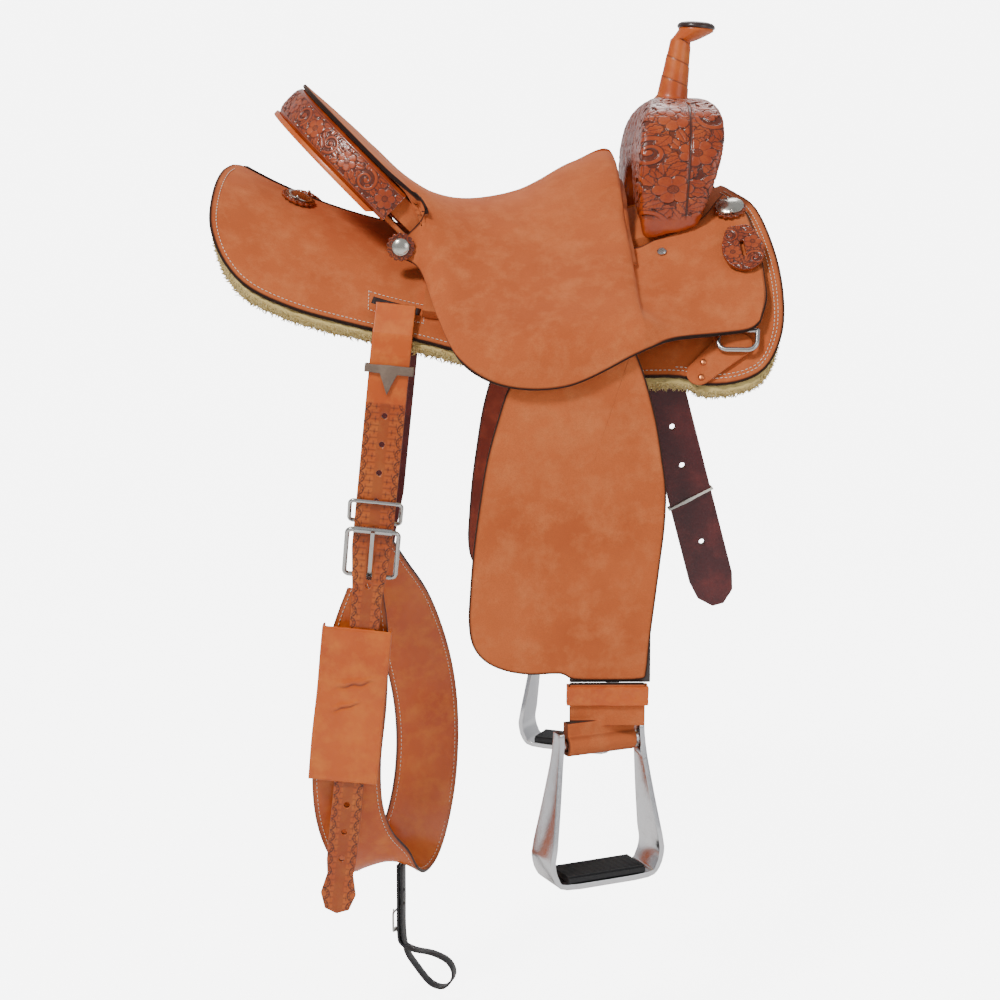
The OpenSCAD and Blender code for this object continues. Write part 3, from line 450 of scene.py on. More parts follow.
def strap(points, across, widths, thick, n_across=14, step=3.0, edge_w=1.4):
    """Flat strap along points, its width along the directions across; rounded edges, closed ends."""
    p = np.asarray(points, float)
    m = len(p)
    count = max(int(np.sum(np.linalg.norm(np.diff(p, axis=0), axis=1)) / step), 8)
    t = np.linspace(0, m - 1, count)
    c = spline_at(p, t)
    a = spline_at(np.asarray(across, float), t)
    w = spline_at(np.asarray(widths, float).reshape(-1, 1), t)[:, 0]
    tan = np.gradient(c, axis=0)
    tan /= np.linalg.norm(tan, axis=1)[:, None]
    a = a - tan * np.sum(a * tan, 1)[:, None]
    a /= np.linalg.norm(a, axis=1)[:, None]
    nor = np.cross(tan, a)
    half = thick / 2
    r = min(half, EDGE_R)
    # each entry: sign of the edge, distance in from it, height
    sect = []
    inset = [0.0, 0.15, 0.45, 0.9, 1.3]
    for d in inset:
        sect.append((-1, d, half - r + r * math.sqrt(max(0, 1 - (1 - min(d / r, 1)) ** 2))))
    for u in np.linspace(-1, 1, n_across)[1:-1]:
        sect.append((u, None, half))
    for d in inset[::-1]:
        sect.append((1, d, half - r + r * math.sqrt(max(0, 1 - (1 - min(d / r, 1)) ** 2))))
    bottom = [(s, d, -h) for s, d, h in sect[::-1]]
    loop = sect + bottom
    L = len(loop)
    V = np.zeros((count, L, 3))
    E = np.zeros((count, L))
    for k, (s, d, h) in enumerate(loop):
        if d is None:
            u = s * (w / 2 - EDGE_BAND)
            dd = w / 2 - np.abs(u)
        else:
            u = s * (w / 2 - d)
            dd = np.full(count, d)
        V[:, k] = c + a * u[:, None] + nor * h
        E[:, k] = np.exp(-(dd / edge_w) ** 2)
    i = np.arange(count - 1)
    j = np.arange(L)
    ii, jj = np.meshgrid(i, j, indexing="ij")
    i2 = ii + 1
    j2 = (jj + 1) % L
    F = np.stack([ii * L + jj, i2 * L + jj, i2 * L + j2, ii * L + j2], -1).reshape(-1, 4).tolist()
    F.append(list(range(L)))
    F.append([(count - 1) * L + q for q in range(L)][::-1])
    return V.reshape(-1, 3), F, {"edge": E.reshape(-1)}, (c, a, nor, w)


def cad_copy(node, name, mat, bevel=0.0, segments=2, remesh=0.0, relax=0, subdiv=0, edge_axis=None,
             displace=None, join=(), extra=()):
    """A finer stand-in for a CAD node: its shape with rounded edges."""
    src = [NODES[node]] + [NODES[j] for j in join]
    V, F, off = [], [], 0
    for s in src:
        me = s.data
        co = np.zeros(len(me.vertices) * 3)
        me.vertices.foreach_get("co", co)
        V.append(co.reshape(-1, 3))
        F += [[v + off for v in p.vertices] for p in me.polygons]
        off += len(me.vertices)
    me = bpy.data.meshes.new(name)
    me.from_pydata(np.vstack(V), [], F)
    o = bpy.data.objects.new(name, me)
    bpy.context.scene.collection.objects.link(o)
    me.materials.append(mat)
    w = o.modifiers.new("weld", "WELD")
    w.merge_threshold = 0.00002
    if remesh:
        r = o.modifiers.new("remesh", "REMESH")
        r.mode = "VOXEL"
        r.voxel_size = remesh * MM
        r.use_smooth_shade = True
    if relax:
        s = o.modifiers.new("relax", "SMOOTH")
        s.factor = 0.5
        s.iterations = relax
    if bevel:
        b = o.modifiers.new("bevel", "BEVEL")
        b.width = bevel * MM
        b.segments = segments
        b.limit_method = "ANGLE"
        b.angle_limit = math.radians(30)
        wn = o.modifiers.new("normals", "WEIGHTED_NORMAL")
        wn.keep_sharp = True
    if subdiv:
        s = o.modifiers.new("sub", "SUBSURF")
        s.levels = s.render_levels = subdiv
    dg = bpy.context.evaluated_depsgraph_get()
    ev = bpy.data.meshes.new_from_object(o.evaluated_get(dg))
    o.modifiers.clear()
    o.data = ev
    bpy.data.meshes.remove(me)
    ev.name = name
    n = len(ev.vertices)
    co = np.zeros(n * 3)
    ev.vertices.foreach_get("co", co)
    co = co.reshape(-1, 3) * 1000
    no = np.zeros(n * 3, np.float32)
    ev.vertices.foreach_get("normal", no)
    no = no.reshape(-1, 3)
    attrs = {}
    if edge_axis is not None:
        ax = np.array(edge_axis, float)
        attrs["edge"] = np.clip(1.3 - 1.6 * np.abs(no @ ax), 0, 1)
    if displace:
        co2, more = displace(co, no)
        attrs.update(more)
        ev.vertices.foreach_set("co", (co2 * MM).reshape(-1))
    for k, v in attrs.items():
        a = ev.attributes.new(k, "FLOAT", "POINT")
        a.data.foreach_set("value", np.clip(v, 0, 1).astype(np.float32))
    ev.polygons.foreach_set("use_smooth", np.ones(len(ev.polygons), bool))
    ev.update()
    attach(o, NODES[node]["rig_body"])
    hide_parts(node, *join, *extra)
    return o

# ---------- the horse's back ----------
ROCK, CROWN, FLANK, CROWN_A = 600.0, 190.0, 420.0, math.radians(40)
FC = ((CROWN - FLANK) * math.sin(CROWN_A), -CROWN + (CROWN - FLANK) * math.cos(CROWN_A))


def back_profile(y, t):
    a = np.abs(y)
    inner = -CROWN + np.sqrt(np.maximum((CROWN + t) ** 2 - a * a, 1))
    outer = FC[1] + np.sqrt(np.maximum((FLANK + t) ** 2 - (a - FC[0]) ** 2, 1))
    return np.where(a < (CROWN + t) * math.sin(CROWN_A), inner, outer)


def back_z(x, y, t):
    return ROCK - np.sqrt((ROCK - back_profile(y, t)) ** 2 - x * x)


Y_TAB = np.linspace(0, 260, 1300)


def s_of_y(y, t):
    z = back_profile(Y_TAB, t)
    s = np.r_[0, np.cumsum(np.hypot(np.diff(Y_TAB), np.diff(z)))]
    return np.interp(y, Y_TAB, s)


def y_of_s(s, t):
    z = back_profile(Y_TAB, t)
    a = np.r_[0, np.cumsum(np.hypot(np.diff(Y_TAB), np.diff(z)))]
    return np.interp(s, a, Y_TAB)


def back_surface(t):
    """Right side of the back at offset t: (x, arc length down from the centre line) to points."""
    def f(p):
        y = y_of_s(p[:, 1], t)
        return np.stack([p[:, 0], -y, back_z(p[:, 0], y, t)], 1)
    return f


def side_to_back(outline, t, top_y):
    """Side-view outline [x, z] to (x, arc length) on the back at offset t."""
    out = []
    for x, z in outline:
        lo, hi = top_y, 250.0
        if back_z(x, top_y, t) < z:
            y = top_y
        else:
            for _ in range(40):
                m = (lo + hi) / 2
                if back_z(x, m, t) > z:
                    lo = m
                else:
                    hi = m
            y = lo
        out.append((x, float(s_of_y(y, t))))
    return np.array(out)


SKIRT_SIDE = [[-225, 160], [-288, 100], [-304, 84], [-309, 50], [-305, 22], [-289, -10], [-262, -36],
              [-215, -57], [-160, -72], [-76, -92], [20, -116], [110, -124], [180, -124], [200, -131],
              [236, -129], [266, -115], [284, -85], [290, -50], [287, -4], [273, 46], [252, 66], [226, 90], [190, 160]]
SKIRT_MID, SKIRT_T = 18.9, 5.0
STITCH_LIFT = SKIRT_T / 2 + 0.5
# Distance of the stitch rows from the skirt's edge; the inner one runs round the front only
OUTER_ROW, INNER_ROW = 6.5, 10.0


def clean_outline(side, t, top_y):
    o = side_to_back(side, t, top_y)
    keep = [o[0]]
    for p in o[1:]:
        if np.linalg.norm(p - keep[-1]) > 1.0:
            keep.append(p)
    return np.array(keep)


both_sides = lambda v, s: v if s == "right" else mirror(v)


def mesh_pair(name, verts, faces, mat, node=None, attrs=None):
    """The same piece on both sides of the tree, the left one mirrored."""
    for side, _ in SIDES:
        mesh(name + "_" + side, both_sides(verts, side), faces if side == "right" else flip(faces), mat, "tree",
             [node + "_" + side] if node else (), attrs)



skirt_outline = clean_outline(ring_at(SKIRT_SIDE, 4), SKIRT_MID, 31.0)
wave = lambda f, d: smooth_noise(f, 90, 3) * 0.5
V, F, A, info = plate(skirt_outline, np.array([-10.0, 120.0]), back_surface(SKIRT_MID), SKIRT_T, 2.2, 42, top=wave)
mesh_pair("skirt_leather", V, F, MAT["roughout"], "skirt", A)


def out_of_back(flat, lift):
    """Points on the middle of the skirt lifted outwards, with their outward normals."""
    p, inwards = surface_points(back_surface(SKIRT_MID), flat, -lift)
    return p, -inwards


def outline_rows(info, insets, lift, keep=None):
    rows = []
    o, nor = info["outline"], info["normal"]
    for d in insets:
        flat = np.vstack([o, o[:1]]) + np.vstack([nor, nor[:1]]) * d
        p, nn = out_of_back(flat, lift)
        if keep is None:
            rows.append((p, nn))
        else:
            ok = keep(flat, p)
            start = 0
            for i in range(1, len(ok) + 1):
                if i == len(ok) or ok[i] != ok[start]:
                    if ok[start] and i - start > 3:
                        rows.append((p[start:i], nn[start:i]))
                    start = i
    return rows


rows = outline_rows(info, [OUTER_ROW], STITCH_LIFT, keep=lambda f, p: f[:, 1] > 60)
rows += outline_rows(info, [INNER_ROW], STITCH_LIFT, keep=lambda f, p: (f[:, 0] > 175) & (f[:, 1] > 60))
# stitching round the billet slot
SLOT = (-112.0, -56.0)
slot_c = side_to_back([SLOT], SKIRT_MID, 31.0)[0]
box_line = np.array([[-29, -13], [29, -7], [29, 17], [-29, 11], [-29, -13]], float) + slot_c
box_line = resample(box_line, 2, closed=False)
rows.append(out_of_back(box_line, STITCH_LIFT))
for side, sg in SIDES:
    stitches("skirt_stitching_" + side, [(both_sides(p, side), both_sides(n, side)) for p, n in rows],
             MAT["thread"], "tree", pitch=4.6, length=3.1, radius=0.45)
# painted shade: a thin dark leather strip standing in for the shaded opening of the slot
slot_line = np.array([[-25, -3], [25, 3]], float) + slot_c
pts, nn = out_of_back(resample(slot_line, 3, closed=False), STITCH_LIFT)
tan = pts[-1] - pts[0]
Vs, Fs, As, _ = strap(pts, np.tile(np.cross(nn.mean(0), tan), (len(pts), 1)), [9.0] * len(pts), 1.0, 6)
mesh_pair("slot_shade_strip", Vs, Fs, MAT["dark"], attrs=As)

# ---------- fleece ----------
FLEECE_INSET = 6.0
fo = resample(skirt_outline, 1.3)
turn = 1 if np.sum(fo[:, 0] * np.roll(fo[:, 1], -1) - fo[:, 1] * np.roll(fo[:, 0], -1)) > 0 else -1
ft = np.roll(fo, -1, 0) - np.roll(fo, 1, 0)
ft /= np.linalg.norm(ft, axis=1)[:, None]
fn = np.stack([ft[:, 1], -ft[:, 0]], 1) * turn      # outwards
V, F, A, _ = plate(fo - fn * FLEECE_INSET, np.array([-10.0, 120.0]), back_surface(8.2), 15.0, 3.0, 60)
radial = V - np.array([0, 0, -400.0])
radial[:, 0] = 0
radial /= np.linalg.norm(radial, axis=1)[:, None]
V = V + radial * (smooth_noise(V, 10, 5) * 1.1 + smooth_noise(V, 5, 6) * 0.7)[:, None]
V[:, 1] = np.minimum(V[:, 1], -26)
mesh_pair("fleece_lining", V, F, MAT["fleece"], "fleece")
rng = np.random.default_rng(7)
V, F, c = [], [], 0
tuft_f = [[0, 1, 4, 3], [1, 2, 5, 4], [2, 0, 3, 5], [3, 4, 7, 6], [4, 5, 8, 7], [5, 3, 6, 8], [6, 7, 8]]
for layer in (3.0, 6.5, 10.0, 13.5):
    base, nb = surface_points(back_surface(8.0), fo - fn * (FLEECE_INSET + 1.5), 0)
    tip, _ = surface_points(back_surface(8.0), fo - fn * (FLEECE_INSET - 2.0), 0)
    surf_n = nb
    for i in range(0, len(fo)):
        if fo[i, 1] < 60:
            continue
        off = (layer - 8.0) + rng.normal() * 1.2
        b = base[i] + surf_n[i] * off
        d = (tip[i] - base[i])
        d = d / np.linalg.norm(d) * rng.uniform(2.6, 4.8) + surf_n[i] * rng.normal() * 1.4
        side_v = np.cross(surf_n[i], d)
        side_v = side_v / np.linalg.norm(side_v)
        d = d + side_v * rng.normal() * 2.2
        w = rng.uniform(0.7, 1.25)
        up = surf_n[i]
        for f, ww in ((0.0, 1.0), (0.55, 0.8), (1.0, 0.25)):
            p = b + d * f + side_v * math.sin(f * 3) * rng.normal() * 0.8
            for a in (0, 2.09, 4.19):
                V.append(p + (side_v * math.cos(a) + up * math.sin(a)) * w * ww)
        F += [[q + c for q in t] for t in tuft_f]
        c += 9
V = np.array(V)
mesh_pair("fleece_edge", V, F, MAT["fleece"])

# ---------- seat leather ----------
R2 = math.sqrt(0.5)
cp = lambda w, y, n: [-87 - (w + n) * R2, y, 46 + (w - n) * R2]
ob = lambda x, y, t: [x, y, float(back_z(x, y, t))]
SEAT = [
    [cp(190, 0, -5.5), cp(178, 58, -5.5), cp(150, 104, -5.5), cp(108, 136, -5.5),
     cp(60, 150, -5.5), cp(-1, 153, -6), [-104, 152, 16], [-115, 148, -4]],
    [cp(100, 0, -10), cp(94, 52, -10), cp(80, 96, -10), cp(62, 124, -9),
     cp(36, 142, -8), [-82, 152, 38], [-90, 157, 12], [-88, 164, -16]],
    [[-94, 0, 66], [-97, 50, 71], [-98, 88, 76], [-92, 120, 72], [-84, 142, 50], [-76, 160, 18], [-72, 182,
        -18], [-68, 214, -64]],
    [[-40, 0, 57], [-42, 45, 58], [-44, 84, 56], [-44, 116, 44], [-42, 147, 20], [-42, 186, -20], [-43, 236,
        -70], [-45, 260, -104]],
    [[20, 0, 68], [19, 42, 66], [17, 80, 56], [14, 112, 38], [11, 150, 8], [8, 202, -38], [4, 256, -84], [0,
        266, -130]],
    [[80, 0, 98], [80, 38, 92], [79, 74, 72], [76, 108, 46], [73, 152, 6], [70, 206, -36], [67, 257, -78], [64,
        266, -130]],
    [[126, 0, 108], [126, 42, 98], [126, 82, 76], [126, 114, 46], [128, 158, 10], [129, 208, -31], [130, 256,
        -67], [130, 265, -99]],
    [ob(131, 130, 39.5), ob(132, 136, 39.5), ob(134, 144, 39.5), ob(136, 158, 40), ob(140, 184, 43), ob(143,
        216, 51), [146, 254, -67], [149, 261, -91]],
    [ob(166, 138, 39.5), ob(167, 145, 39.5), ob(168, 156, 39.5), ob(169, 172, 39.5), ob(170, 195, 41), ob(171,
        218, 47), ob(172, 240, 55), [174, 253, -82]],
    [ob(208, 132, 39.5), ob(210, 138, 39.5), ob(213, 149, 39.5), ob(216, 166, 39), ob(218, 186, 38.5), ob(219,
        207, 38.5), ob(220, 225, 39), ob(222, 238, 41)],
    [ob(230, 112, 39), ob(235, 119, 38), ob(242, 132, 37), ob(247, 151, 36), ob(250, 174, 35.5), ob(252, 198,
        36), ob(252, 220, 37.5), ob(250, 239, 39)],
    [ob(238, 102, 37), ob(247, 113, 34), ob(258, 131, 32), ob(264, 152, 31), ob(269, 177, 31), ob(271, 203,
        32), ob(270, 221, 36), ob(262, 235, 38)]]
SEAT = np.array(SEAT, float)
SEAT_T = 4.5


def seat_point(u, v):
    """Points of the right half of the seat's face at net parameters u (front to back rows) and v."""
    rows = spline_at(SEAT, u)                    # (k, 8, 3)
    out = np.zeros((len(u), 3))
    m = rows.shape[1] - 1
    v = np.clip(v, 0, m)
    i = np.minimum(v.astype(int), m - 1)
    f = (v - i)[:, None]
    k = np.arange(len(u))
    out = span(rows[k, np.maximum(i - 1, 0)], rows[k, i], rows[k, i + 1], rows[k, np.minimum(i + 2, m)], f)
    out[:, 1] *= -1
    out[:, 1] = np.where((u <= 6) & (v <= 0), 0, np.where(u <= 6, np.minimum(out[:, 1], 0), out[:, 1]))
    return out


near = np.array([0, 0.012, 0.03, 0.06, 0.1, 0.16])
us = np.r_[near, np.arange(0.25, 6, 0.09), 6.0, np.arange(6.09, 10.8, 0.09), 11 - near[::-1] * 1.6]
vs = np.r_[np.arange(0, 6.8, 0.09), 7 - near[::-1]]


def seat_sheet(us, vs, divided):
    U, W = np.meshgrid(us, vs, indexing="ij")
    P = seat_point(U.ravel(), W.ravel()).reshape(len(us), len(vs), 3)
    e = 0.02
    du = seat_point(np.clip(U + e, 0, 11).ravel(), W.ravel()) - seat_point(np.clip(U - e, 0, 11).ravel(), W.ravel())
    dv = seat_point(U.ravel(), np.clip(W + e, 0, 7).ravel()) - seat_point(U.ravel(), np.clip(W - e, 0, 7).ravel())
    N = np.cross(du, dv)
    N /= np.maximum(np.linalg.norm(N, axis=1)[:, None], 1e-9)
    N = N.reshape(P.shape)
    # outwards is away from the horse
    N = np.where(np.sum(N * np.array([0, -0.4, 1.0]), -1, keepdims=True) < 0, -N, N)
    dist_v = np.cumsum(np.r_[np.zeros((1, len(us))), np.linalg.norm(np.diff(P, axis=1), axis=2).T], 0).T
    dist_u = np.cumsum(np.r_[np.zeros((1, len(vs))), np.linalg.norm(np.diff(P, axis=0), axis=2)], 0)
    d = dist_v[:, -1:] - dist_v
    if divided:
        d = np.minimum(d, dist_v)
        d = np.minimum(d, dist_u[-1:] - dist_u)
    else:
        d = np.minimum(d, dist_u)
    return P, N, d


def seat_half_mesh(us, vs, divided):
    P, N, d = seat_sheet(us, vs, divided)
    half = SEAT_T / 2
    r = 1.6
    h = half - r + r * np.sqrt(np.clip(1 - (1 - np.clip(d / r, 0, 1)) ** 2, 0, 1))
    wav = smooth_noise(P.reshape(-1, 3), 120, 11).reshape(d.shape) * 0.5
    wav = wav + smooth_noise(P.reshape(-1, 3), 34, 12).reshape(d.shape) * 0.12
    mid = P - N * half
    outer = mid + N * (h + wav * (d > 4))[..., None]
    inner = mid - N * h[..., None]
    m, n = d.shape
    V = np.vstack([outer.reshape(-1, 3), inner.reshape(-1, 3)])
    E = np.tile(np.exp(-(d / 2.4) ** 4).reshape(-1), 2)
    i, j = np.meshgrid(np.arange(m - 1), np.arange(n - 1), indexing="ij")
    q = (i * n + j).ravel()
    F = [np.stack([q, q + n, q + n + 1, q + 1], 1)]
    o = m * n
    F.append(np.stack([o + q, o + q + 1, o + q + n + 1, o + q + n], 1))
    k = np.arange(m - 1) * n + n - 1
    F.append(np.stack([k, k + n, o + k + n, o + k], 1))
    if divided:
        k = np.arange(m - 1) * n
        F.append(np.stack([k + n, k, o + k, o + k + n], 1))
        k = (m - 1) * n + np.arange(n - 1)
        F.append(np.stack([k + 1, k, o + k, o + k + 1], 1))
    else:
        k = np.arange(n - 1)
        F.append(np.stack([k, k + 1, o + k + 1, o + k], 1))
    return V, np.vstack(F), E


back_part = seat_half_mesh(us[us <= 6.001], vs, False)
front_part = seat_half_mesh(us[us >= 5.999], vs, True)
V, F, E = [], [], []
c = 0
for part in (back_part, front_part):
    for s in (1, -1):
        v = part[0] * [1, s, 1]
        f = part[1] if s == 1 else part[1][:, ::-1]
        V.append(v)
        F.append(f + c)
        E.append(part[2])
        c += len(v)
# the front part's inner edge starts at the middle line, so it is not an edge at its first row
mesh("seat_and_jockeys", np.vstack(V), np.vstack(F), MAT["roughout"], "tree",
     ["seat_leather"], {"edge": np.concatenate(E)})


# ---------- tooling ----------
def floral(w, h, pitch, seed, r0=0.34):
    """Flowers in staggered rows with leaves and scrolls between them, over a w by h rectangle."""
    r = np.random.default_rng(seed)
    items = []
    rows = max(1, int(round(h / pitch)))
    cols = max(1, int(round(w / pitch)))
    for a in range(rows):
        for b in range(cols):
            cx = (b + 0.5 + (0.25 if a % 2 else -0.25) * (rows > 1)) * w / cols
            cy = (a + 0.5) * h / rows
            R = pitch * r0 * r.uniform(0.9, 1.1)
            big = (a + b) % 2 == 0
            fan = 9 if big else 7
            for reach, length, wide in ((1.28, 1.15, 0.36), (0.9, 1.0, 0.33)):
                for k in range(fan):
                    t = (k + (0.5 if reach > 1 else 0)) * 2 * math.pi / fan + r.uniform(-0.12, 0.12)
                    items.append(("leaf", cx + math.cos(t) * R * reach, cy + math.sin(t) * R * reach, R * length,
                                  R * wide, t + (0.5 if k % 2 else -0.4)))
            if big:
                items.append(("flower", cx, cy, R, 5 + int(r.integers(0, 3)), r.uniform(0, 6.28)))
            else:
                items.append(("scroll", cx, cy, R * 1.1, 1.7, r.uniform(0, 6.28), 1 if r.random() > 0.5 else -1))
    return items


def tool(u, v, items):
    """Height (about -1 to 1) of the tooling at u, v, and its painted shade: how dark its cuts and background are
    coloured.
    """
    u = np.asarray(u, float)
    v = np.asarray(v, float)
    H = -0.75 + 0.22 * np.sin(u * 3.9) * np.sin(v * 3.7)
    # painted shade: the matted background between the figures starts fairly dark
    G = np.full(u.shape, 0.72)
    leaves = [i for i in items if i[0] == "leaf"]
    order = leaves + [i for i in items if i[0] == "scroll"] + [i for i in items if i[0] == "flower"]
    for it in order:
        kind, cx, cy, R = it[:4]
        reach = R * (1.6 if kind != "leaf" else 1.2)
        sel = (np.abs(u - cx) < reach) & (np.abs(v - cy) < reach)
        if not sel.any():
            continue
        x, y = u[sel] - cx, v[sel] - cy
        rr, th = np.hypot(x, y), np.arctan2(y, x)
        if kind == "flower":
            n, a = it[4], it[5]
            lobe = np.abs(np.cos(n / 2 * (th - a)))
            d = R * (0.66 + 0.34 * lobe ** 0.5) - rr
            petal = 0.75 + 0.35 * lobe * np.clip(rr / R, 0, 1) - 0.5 * np.exp(-((np.clip(lobe, 0, 1) * rr) / 0.5) ** 2)
            h = np.clip(d / 0.9, 0, 1) ** 0.5 * petal
            vein = 0.5 * np.exp(-((np.sin(n * 2.5 * (th - a)) * rr * 0.35) / 0.22) ** 2) * (rr > 0.4 * R)
            h -= vein * 0.5
            g = np.exp(-(d / 0.55) ** 2) + 0.8 * np.exp(-(lobe * rr / 0.55) ** 2) + vein * 0.6
            centre = 0.26 * R
            bead = (rr < centre)
            h = np.where(bead, 0.9 + 0.3 * np.cos(rr / centre * 9) * np.cos(th * 8), h)
            g = np.where(bead, 0.35 + 0.4 * (np.cos(th * 8) * np.cos(rr / centre * 9) < -0.1), g)
            g = np.maximum(g, np.exp(-((rr - centre) / 0.5) ** 2))
        elif kind == "leaf":
            L, W, a = it[3], it[4], it[5]
            p = x * math.cos(a) + y * math.sin(a)
            q = -x * math.sin(a) + y * math.cos(a) + 0.25 * p * p / L
            f = np.clip(p / L, 0, 1)
            d = np.minimum(W * np.sin(math.pi * f ** 0.8) * (1 - 0.10 * np.cos(f * 25)) - np.abs(q),
                np.minimum(p, L - p))
            h = np.clip(d / 0.8, 0, 1) ** 0.5 * (0.55 + 0.25 * np.clip(np.abs(q) / max(W, 0.1), 0, 1))
            vein = np.exp(-(q / 0.35) ** 2)
            h -= 0.35 * vein
            g = np.exp(-(d / 0.5) ** 2) + 0.7 * vein + 0.3 * (np.sin(p * 2.6 - np.abs(q) * 2) > 0.75)
        else:
            turns, a, way = it[4], it[5], it[6]
            tt = (th * way - a) % (2 * math.pi)
            d = np.full(x.shape, -9.0)
            for k in range(3):
                s = tt + 2 * math.pi * k
                centre = R * (1 - s / (2 * math.pi * turns + 0.6))
                band = 0.17 * R * (1 - 0.45 * s / (2 * math.pi * turns + 0.6))
                ok = s < 2 * math.pi * turns
                d = np.where(ok, np.maximum(d, band - np.abs(rr - centre)), d)
            d = np.maximum(d, 0.2 * R - rr)
            h = np.clip(d / 0.9, 0, 1) ** 0.5 * 0.85
            g = np.exp(-(d / 0.55) ** 2)
        ins = d > 0
        hs, gs = H[sel], G[sel]
        hs = np.where(ins, h, hs)
        gs = np.where(ins, np.clip(g, 0.05, 1), np.maximum(gs, np.exp(-(d / 0.6) ** 2)))
        H[sel], G[sel] = hs, gs
    return H, np.clip(G, 0, 1)


# ---------- cantle ----------
def frame_pt(w, y, n):
    return np.stack([-87 - (w + n) * R2, y, 46 + (w - n) * R2], -1)


CR, CLEG, CDEPTH = 150.0, 40.0, 36.0
leg = 20.0
arc = math.pi * (CR - 4)
total = arc + 2 * leg
ks = np.arange(0, total + 0.01, 0.62)
cross_n = np.linspace(-0.5, CDEPTH + 0.5, 72)
items = floral(total, CDEPTH - 8, 27, 21, 0.40)
S, Nn = np.meshgrid(ks, cross_n, indexing="ij")


def arch_at(s, r):
    a = np.clip((s - leg) / arc, 0, 1) * math.pi - math.pi / 2
    down = np.where(s < leg, leg - s, np.where(s > leg + arc, s - leg - arc, 0))
    return r * np.sin(a), CLEG + r * np.cos(a) - down


prof = np.sqrt(np.clip(1 - ((Nn - CDEPTH / 2) / (CDEPTH / 2 + 0.6)) ** 4, 0, 1))
H, G = tool(S, Nn - 4, items)
border = (Nn < 4.2) | (Nn > CDEPTH - 4.2)
H = np.where(border, 0.35, H)
G = np.where(border, 0.12, G)
# border lines, grooved and with painted shade in them
for b in (4.2, CDEPTH - 4.2, 2.2, CDEPTH - 2.2):
    G = np.maximum(G, np.exp(-((Nn - b) / 0.45) ** 2) * 0.9)
    H = H - 0.5 * np.exp(-((Nn - b) / 0.5) ** 2)
r_out = CR - 5.5 + 6.0 * prof + 0.75 * H * prof
y, w = arch_at(S, r_out)
outer = frame_pt(w, y, Nn)
y, w = arch_at(S, np.full_like(S, CR - 7.6))
inner = frame_pt(w, y, Nn)
m, n = S.shape
V = np.vstack([outer.reshape(-1, 3), inner.reshape(-1, 3)])
i, j = np.meshgrid(np.arange(m - 1), np.arange(n - 1), indexing="ij")
q = (i * n + j).ravel()
o = m * n
F = [np.stack([q, q + 1, q + n + 1, q + n], 1), np.stack([o + q, o + q + n, o + q + n + 1, o + q + 1], 1)]
for a in (0, (m - 1) * n):
    k = a + np.arange(n - 1)
    F.append(np.stack([k, k + 1, o + k + 1, o + k], 1))
for a in (0, n - 1):
    k = a + np.arange(m - 1) * n
    F.append(np.stack([k, k + n, o + k + n, o + k], 1))
# the tool attribute carries the painted shade of the tooling
mesh("cantle_roll_tooled", V, np.vstack(F), MAT["tooled"], "tree", ["cantle_roll"],
     {"tool": np.r_[G.ravel() * 0.92, np.full(o, 0.2)]})
cad_copy("cantle_binding", "cantle_binding_leather", MAT["smooth"], bevel=1.4, segments=3)
cad_copy("cantle_back", "cantle_back_leather", MAT["roughout"], bevel=1.2, segments=2)

# ---------- swell ----------
sw_items = floral(420, 190, 35, 33, 0.43)


def swell_tool(co, no):
    ax, ay = 192.0, 92.0
    a = np.arctan2(co[:, 0] - ax, np.abs(co[:, 1]) - ay * 0.0 - 40)
    u = 210 + 78 * a
    v = co[:, 2] - 10
    Hs, Gs = tool(u, v, sw_items)
    Ht, Gt = tool(np.abs(co[:, 1]) * 1.0 + 20, co[:, 0] - 120, sw_items)
    wt = np.clip((np.abs(no[:, 2]) - 0.72) / 0.12, 0, 1)
    Hh = np.where(wt > 0.5, Ht, Hs)
    Gg = np.where(wt > 0.5, Gt, Gs)
    outside = np.clip((co[:, 2] - 34) / 6, 0, 1)
    rr = np.hypot(co[:, 0] - 191 - (co[:, 2] - 158) * 0.14, co[:, 1])
    outside = outside * np.clip((rr - 30) / 4, 0, 1)
    gul = (np.abs(co[:, 1]) < 72) & (co[:, 2] < 108) & (np.abs(no[:, 0]) < 0.6) & (no[:, 2] < 0.3)
    outside = np.where(gul, 0, outside)
    # laced seam down each side
    seam = np.exp(-((co[:, 0] - 196 - 0.06 * (co[:, 2] - 80)) / 1.6) ** 2) * (np.abs(co[:, 1]) > 90)
    Hh = Hh * (1 - seam) + seam * (-1.0)
    Gg = np.maximum(Gg, seam)
    # the tool attribute is painted shade in the cuts and background of the tooled area
    return co + no * (0.95 * Hh * outside)[:, None], {"tool": 0.1 + (Gg * 0.9 - 0.1) * outside}


swell = cad_copy("swell_cover", "swell_cover_tooled", MAT["tooled"], remesh=2.6, relax=30, subdiv=1,
                 displace=None, join=("fork",))
sub = swell.modifiers.new("fine", "SUBSURF")
sub.subdivision_type = "SIMPLE"
sub.levels = sub.render_levels = 1
dg = bpy.context.evaluated_depsgraph_get()
fine = bpy.data.meshes.new_from_object(swell.evaluated_get(dg))
swell.modifiers.clear()
swell.data = fine
nv = len(fine.vertices)
co = np.zeros(nv * 3)
fine.vertices.foreach_get("co", co)
co = co.reshape(-1, 3) * 1000
no = np.zeros(nv * 3, np.float32)
fine.vertices.foreach_get("normal", no)
co, at = swell_tool(co, no.reshape(-1, 3))
fine.vertices.foreach_set("co", (co * MM).reshape(-1))
a = fine.attributes.new("tool", "FLOAT", "POINT")
a.data.foreach_set("value", np.clip(at["tool"], 0, 1).astype(np.float32))
fine.polygons.foreach_set("use_smooth", np.ones(len(fine.polygons), bool))
fine.update()

